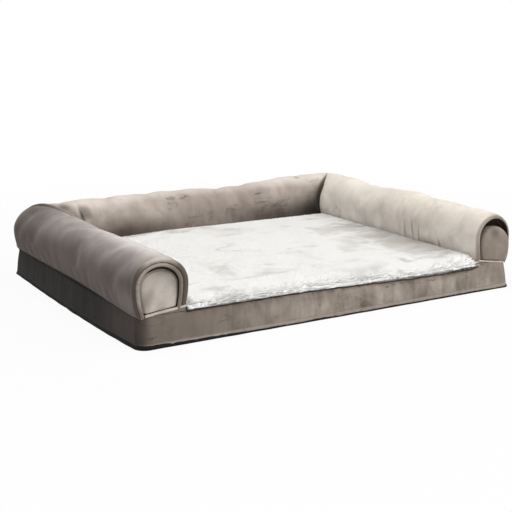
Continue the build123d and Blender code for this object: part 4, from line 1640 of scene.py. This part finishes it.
def row(name, lines, shape, spacing, up, turn, material):
    """Plain mesh of a row of copies of a shape."""
    guide = lines_object("guide", lines)
    facts = {"Shape": shape, "Spacing": spacing, "Up": up, "Turn": turn, "Material": material}
    made = grown(name, guide, rows_tree, facts)
    bpy.data.objects.remove(guide)
    made.data.shade_smooth()
    return made


def line_on(piece, line, lift):
    """A line moved to the nearest places on a piece, and out from it by lift."""
    faces = [face.vertices[:] for face in piece.data.polygons]
    surface = BVHTree.FromPolygons(points_of(piece).tolist(), faces)
    moved = []
    for point in line:
        spot, normal, _, _ = surface.find_nearest(Vector(point))
        moved.append(spot + normal * lift)
    return moved


rows_tree = row_tree()
TOOTH_RINGS = ((-1.55, 0.25, 0.4), (-1.3, 0.55, 0.95), (0, 0.6, 1.05), (1.3, 0.55, 0.95), (1.55, 0.25, 0.4))
STITCH_RINGS = ((-1.6, 0.12, 0.1), (-1.2, 0.33, 0.28), (0, 0.4, 0.33), (1.2, 0.33, 0.28), (1.6, 0.12, 0.1))
DOT_RINGS = ((0, 3.4, 3.4), (0.4, 3.2, 3.2), (0.75, 2.2, 2.2), (0.85, 1.0, 1.0))
TOOTH_PITCH = 1.7 * MM
ZIP_STITCH = 4.6 * MM
HEM_STITCH = 4.8 * MM
HEM_HEIGHT = 10.5 * MM
DOT_PITCH = 30 * MM
DOTS_X = (-0.42, 0.405)
DOTS_Y = (-0.31, 0.32)
ZIP_LINE_HALF = 0.405
tooth = pip("tooth", TOOTH_RINGS, nylon)
stitch = pip("stitch", STITCH_RINGS, seam_thread)
ZIP_OUT = (0.0, 0.993687, 0.11219)  # square to the leaning back wall
teeth = []
for side in ("upper", "lower"):
    low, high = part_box(f"zip_coil_{side}")
    middle = (low + high) / 2
    line = [(low.x + 0.8 * MM, middle.y, middle.z), (high.x - 0.8 * MM, middle.y, middle.z)]
    slant = math.radians(97 if side == "upper" else 83)  # each row's teeth point a little sideways
    teeth.append(row(f"zip_teeth_{side}", [line], tooth, TOOTH_PITCH, ZIP_OUT, slant, nylon))

zip_lines = []
for piece, height in ((back_wall_upper, ZIP_HIGH + 2.6 * MM), (back_wall_lower, ZIP_LOW - 2.6 * MM)):
    line = [(x, HALF_DEPTH, height) for x in np.linspace(-ZIP_LINE_HALF, ZIP_LINE_HALF, 160)]
    zip_lines.append(line_on(piece, line, 0.15 * MM))
zip_stitches = row("zip_stitches", zip_lines, stitch, ZIP_STITCH, ZIP_OUT, 0.0, seam_thread)

hem_stitches = []
for name, piece, start, end, out in (
    ("front", front_wall, -FRONT_END + QUARTER, FRONT_END - QUARTER, (0.0, -1.0, 0.0)),
    ("right", right_wall, FRONT_END, SIDE_END - QUARTER, (1.0, 0.0, 0.0)),
    ("back", back_wall_lower, SIDE_END, BACK_END, (0.0, 1.0, 0.0)),
    ("left", left_wall, -SIDE_END + QUARTER, -FRONT_END, (-1.0, 0.0, 0.0)),
):
    places = np.linspace(start, end, 150)
    line = line_on(piece, [(*outline_point(place, 0)[:2], HEM_HEIGHT) for place in places], 0.1 * MM)
    hem_stitches.append(row(f"{name}_hem_stitches", [line], stitch, HEM_STITCH, out, 0.0, hem_thread))
slack_side(hem_stitches[-1])

# Rubber dots under the base, in staggered rows
dot = pip("dot", DOT_RINGS, rubber)
put_points(dot, points_of(dot)[:, ::-1] * (1, 1, -1))  # pointing down
dot_lines = []
for number, y in enumerate(np.arange(*DOTS_Y, DOT_PITCH)):
    offset = DOT_PITCH / 2 * (number % 2)
    dot_lines.append([(x + offset, y, 0.9 * MM) for x in DOTS_X])
dots_piece = row("grip_dots", dot_lines, dot, DOT_PITCH, (0.0, 0.0, 1.0), 0.0, rubber)
for spare in (tooth, stitch, dot):
    bpy.data.objects.remove(spare)

# Inside


FOAM_CORNER = 26 * MM


def foam_block():
    """Foam slab with rounded edges, inside the cover."""
    low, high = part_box("foam_mattress")
    half_x, half_y = high.x - WALL_DRAW_IN / 2, high.y - WALL_DRAW_IN / 2
    lower = ((6 * MM, low.z), (1 * MM, low.z + 2 * MM), (0, low.z + 8 * MM))
    upper = ((0, high.z - 8 * MM), (1 * MM, high.z - 2 * MM), (6 * MM, high.z))
    rings = []
    for inset, height in lower + upper:
        radius = FOAM_CORNER - inset
        ring = []
        for turn, (side_x, side_y) in enumerate(((1, 1), (-1, 1), (-1, -1), (1, -1))):
            for step in range(9):
                angle = math.pi / 2 * (turn + step / 8)
                x = side_x * (half_x - FOAM_CORNER) + radius * math.cos(angle)
                y = side_y * (half_y - FOAM_CORNER) + radius * math.sin(angle)
                ring.append((x, y, height))
        rings.append(ring)
    return tube("foam_block", np.array(rings), foam)


foam_piece = foam_block()
walls_that_slacken = (front_wall, left_wall, back_wall_upper, back_wall_lower)
for piece in (*walls_that_slacken, base_band_piece, base_sheet_piece, foam_piece):
    slack_side(piece)

# CAD nodes that stay
for node, material in {
    "bolster_floor": lining,
    "zip_tape_upper": tape_weave,
    "zip_tape_lower": tape_weave,
    "zip_top_stops": gunmetal,
    "zip_bottom_stop": gunmetal,
    "zip_slider": gunmetal,
    "zip_pull": gunmetal,
}.items():
    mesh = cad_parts[node].data
    mesh.materials.clear()
    mesh.materials.append(material)

# Pieces, the nodes they stand for and their slots
replaced = {
    left_bolster: (("left_bolster_cover", "left_bolster_fill"), "velvet"),
    back_bolster: (("back_bolster_cover", "back_bolster_fill"), "velvet"),
    right_bolster: (("right_bolster_cover", "right_bolster_fill"), "velvet"),
    left_end_panel: (("left_end_panel",), "velvet"),
    right_end_panel: (("right_end_panel",), "velvet"),
    left_piping: (("left_end_piping",), "velvet"),
    right_piping: (("right_end_piping",), "velvet"),
    left_welt: (("left_end_hem",), "velvet"),
    right_welt: (("right_end_hem",), "velvet"),
    front_wall: (("front_gusset",), "velvet"),
    left_wall: (("left_gusset",), "velvet"),
    right_wall: (("right_gusset",), "velvet"),
    back_wall_upper: (("back_gusset_upper",), "velvet"),
    back_wall_lower: (("back_gusset_lower",), "velvet"),
    base_band_piece: (("base_binding",), "canvas"),
    base_sheet_piece: (("base_panel",), "canvas"),
    plush_top: (("sleeping_surface",), "faux_fur"),
    foam_piece: (("foam_mattress",), "foam"),
    teeth[0]: (("zip_coil_upper",), "zip_coil"),
    teeth[1]: (("zip_coil_lower",), "zip_coil"),
}
for piece, (nodes, slot) in replaced.items():
    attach(piece, "bed")
    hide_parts(*nodes)
for piece in pile_pieces:
    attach(piece, "bed")
for piece in (front_seam, left_cuff, right_cuff, zip_facing, zip_stitches, *hem_stitches):
    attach(piece, "bed")
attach(dots_piece, "bed")

# Studio

scene = bpy.context.scene
scene.view_settings.view_transform = "Standard"


def studio_floor():
    """Pale floor that keeps a faint shadow and shows white to the camera and in reflections."""
    material, tree, place = new_material("studio_floor")
    rays = add_node(tree, "ShaderNodeLightPath").outputs
    seen = maths(tree, "MAXIMUM", rays["Is Camera Ray"], rays["Is Glossy Ray"])
    seen = maths(tree, "MAXIMUM", seen, rays["Is Transmission Ray"])
    away = vectors(tree, "LENGTH", place, out="Value")
    share = maths(tree, "MULTIPLY", seen, ranged(tree, away, 0.7, 1.6, 0.93, curve="LINEAR"))
    pale = add_node(tree, "ShaderNodeBsdfDiffuse", {"Color": colour("#d4d4d4")}, "BSDF")
    white = add_node(tree, "ShaderNodeEmission", {"Color": (1, 1, 1, 1), "Strength": 1.0}, "Emission")
    both = add_node(tree, "ShaderNodeMixShader", {0: share, 1: pale, 2: white}, "Shader")
    add_node(tree, "ShaderNodeOutputMaterial", {"Surface": both})
    size = 6.0
    floor = mesh_object(
        "studio_floor",
        [(-size, -size, 0), (size, -size, 0), (size, size, 0), (-size, size, 0)],
        [(0, 1, 2, 3)],
        material,
    )


def studio_world(strength):
    """White to the camera and in reflections, and a soft even light on the object."""
    world = bpy.data.worlds.new("studio")
    world.use_nodes = True
    tree = world.node_tree
    tree.nodes.clear()
    rays = add_node(tree, "ShaderNodeLightPath").outputs
    seen = maths(tree, "MAXIMUM", rays["Is Camera Ray"], rays["Is Glossy Ray"])
    level = ranged(tree, seen, 0.0, 1.0, strength, 1.0, "LINEAR")
    light = add_node(tree, "ShaderNodeBackground", {"Color": (1, 1, 1, 1), "Strength": level}, "Background")
    add_node(tree, "ShaderNodeOutputWorld", {"Surface": light})
    scene.world = world


def softbox(name, place, target, size, watts, tint="#ffffff"):
    """Square area lamp aimed at a point."""
    lamp = bpy.data.lights.new(name, "AREA")
    lamp.shape = "SQUARE"
    lamp.size = size
    lamp.energy = watts
    lamp.color = colour(tint)[:3]
    made = linked(name, lamp)
    made.location = place
    made.rotation_euler = (Vector(target) - Vector(place)).to_track_quat("-Z", "Y").to_euler()


studio_floor()
studio_world(0.26)
softbox("key", (1.9, -1.5, 1.9), (0, 0, 0.1), 1.5, 46)
softbox("top", (-0.3, 0.1, 2.6), (0, 0, 0.1), 2.0, 56)
softbox("front", (-1.1, -2.7, 1.2), (0, 0, 0.1), 1.4, 18)

# Camera, from the photograph's corners
CAMERA_PLACE = (-1.2558, -2.0804, 0.6242)
CAMERA_AZIMUTH = -31.167
CAMERA_ELEVATION = 13.188
FOCAL_PIXELS = 1090.7
FRAME_PIXELS = 512
camera = linked("camera", bpy.data.cameras.new("camera"))
camera.data.sensor_width = 36
camera.data.lens = FOCAL_PIXELS / FRAME_PIXELS * camera.data.sensor_width
camera.location = CAMERA_PLACE
camera.rotation_euler = (math.radians(90 - CAMERA_ELEVATION), 0, math.radians(CAMERA_AZIMUTH))
scene.camera = camera
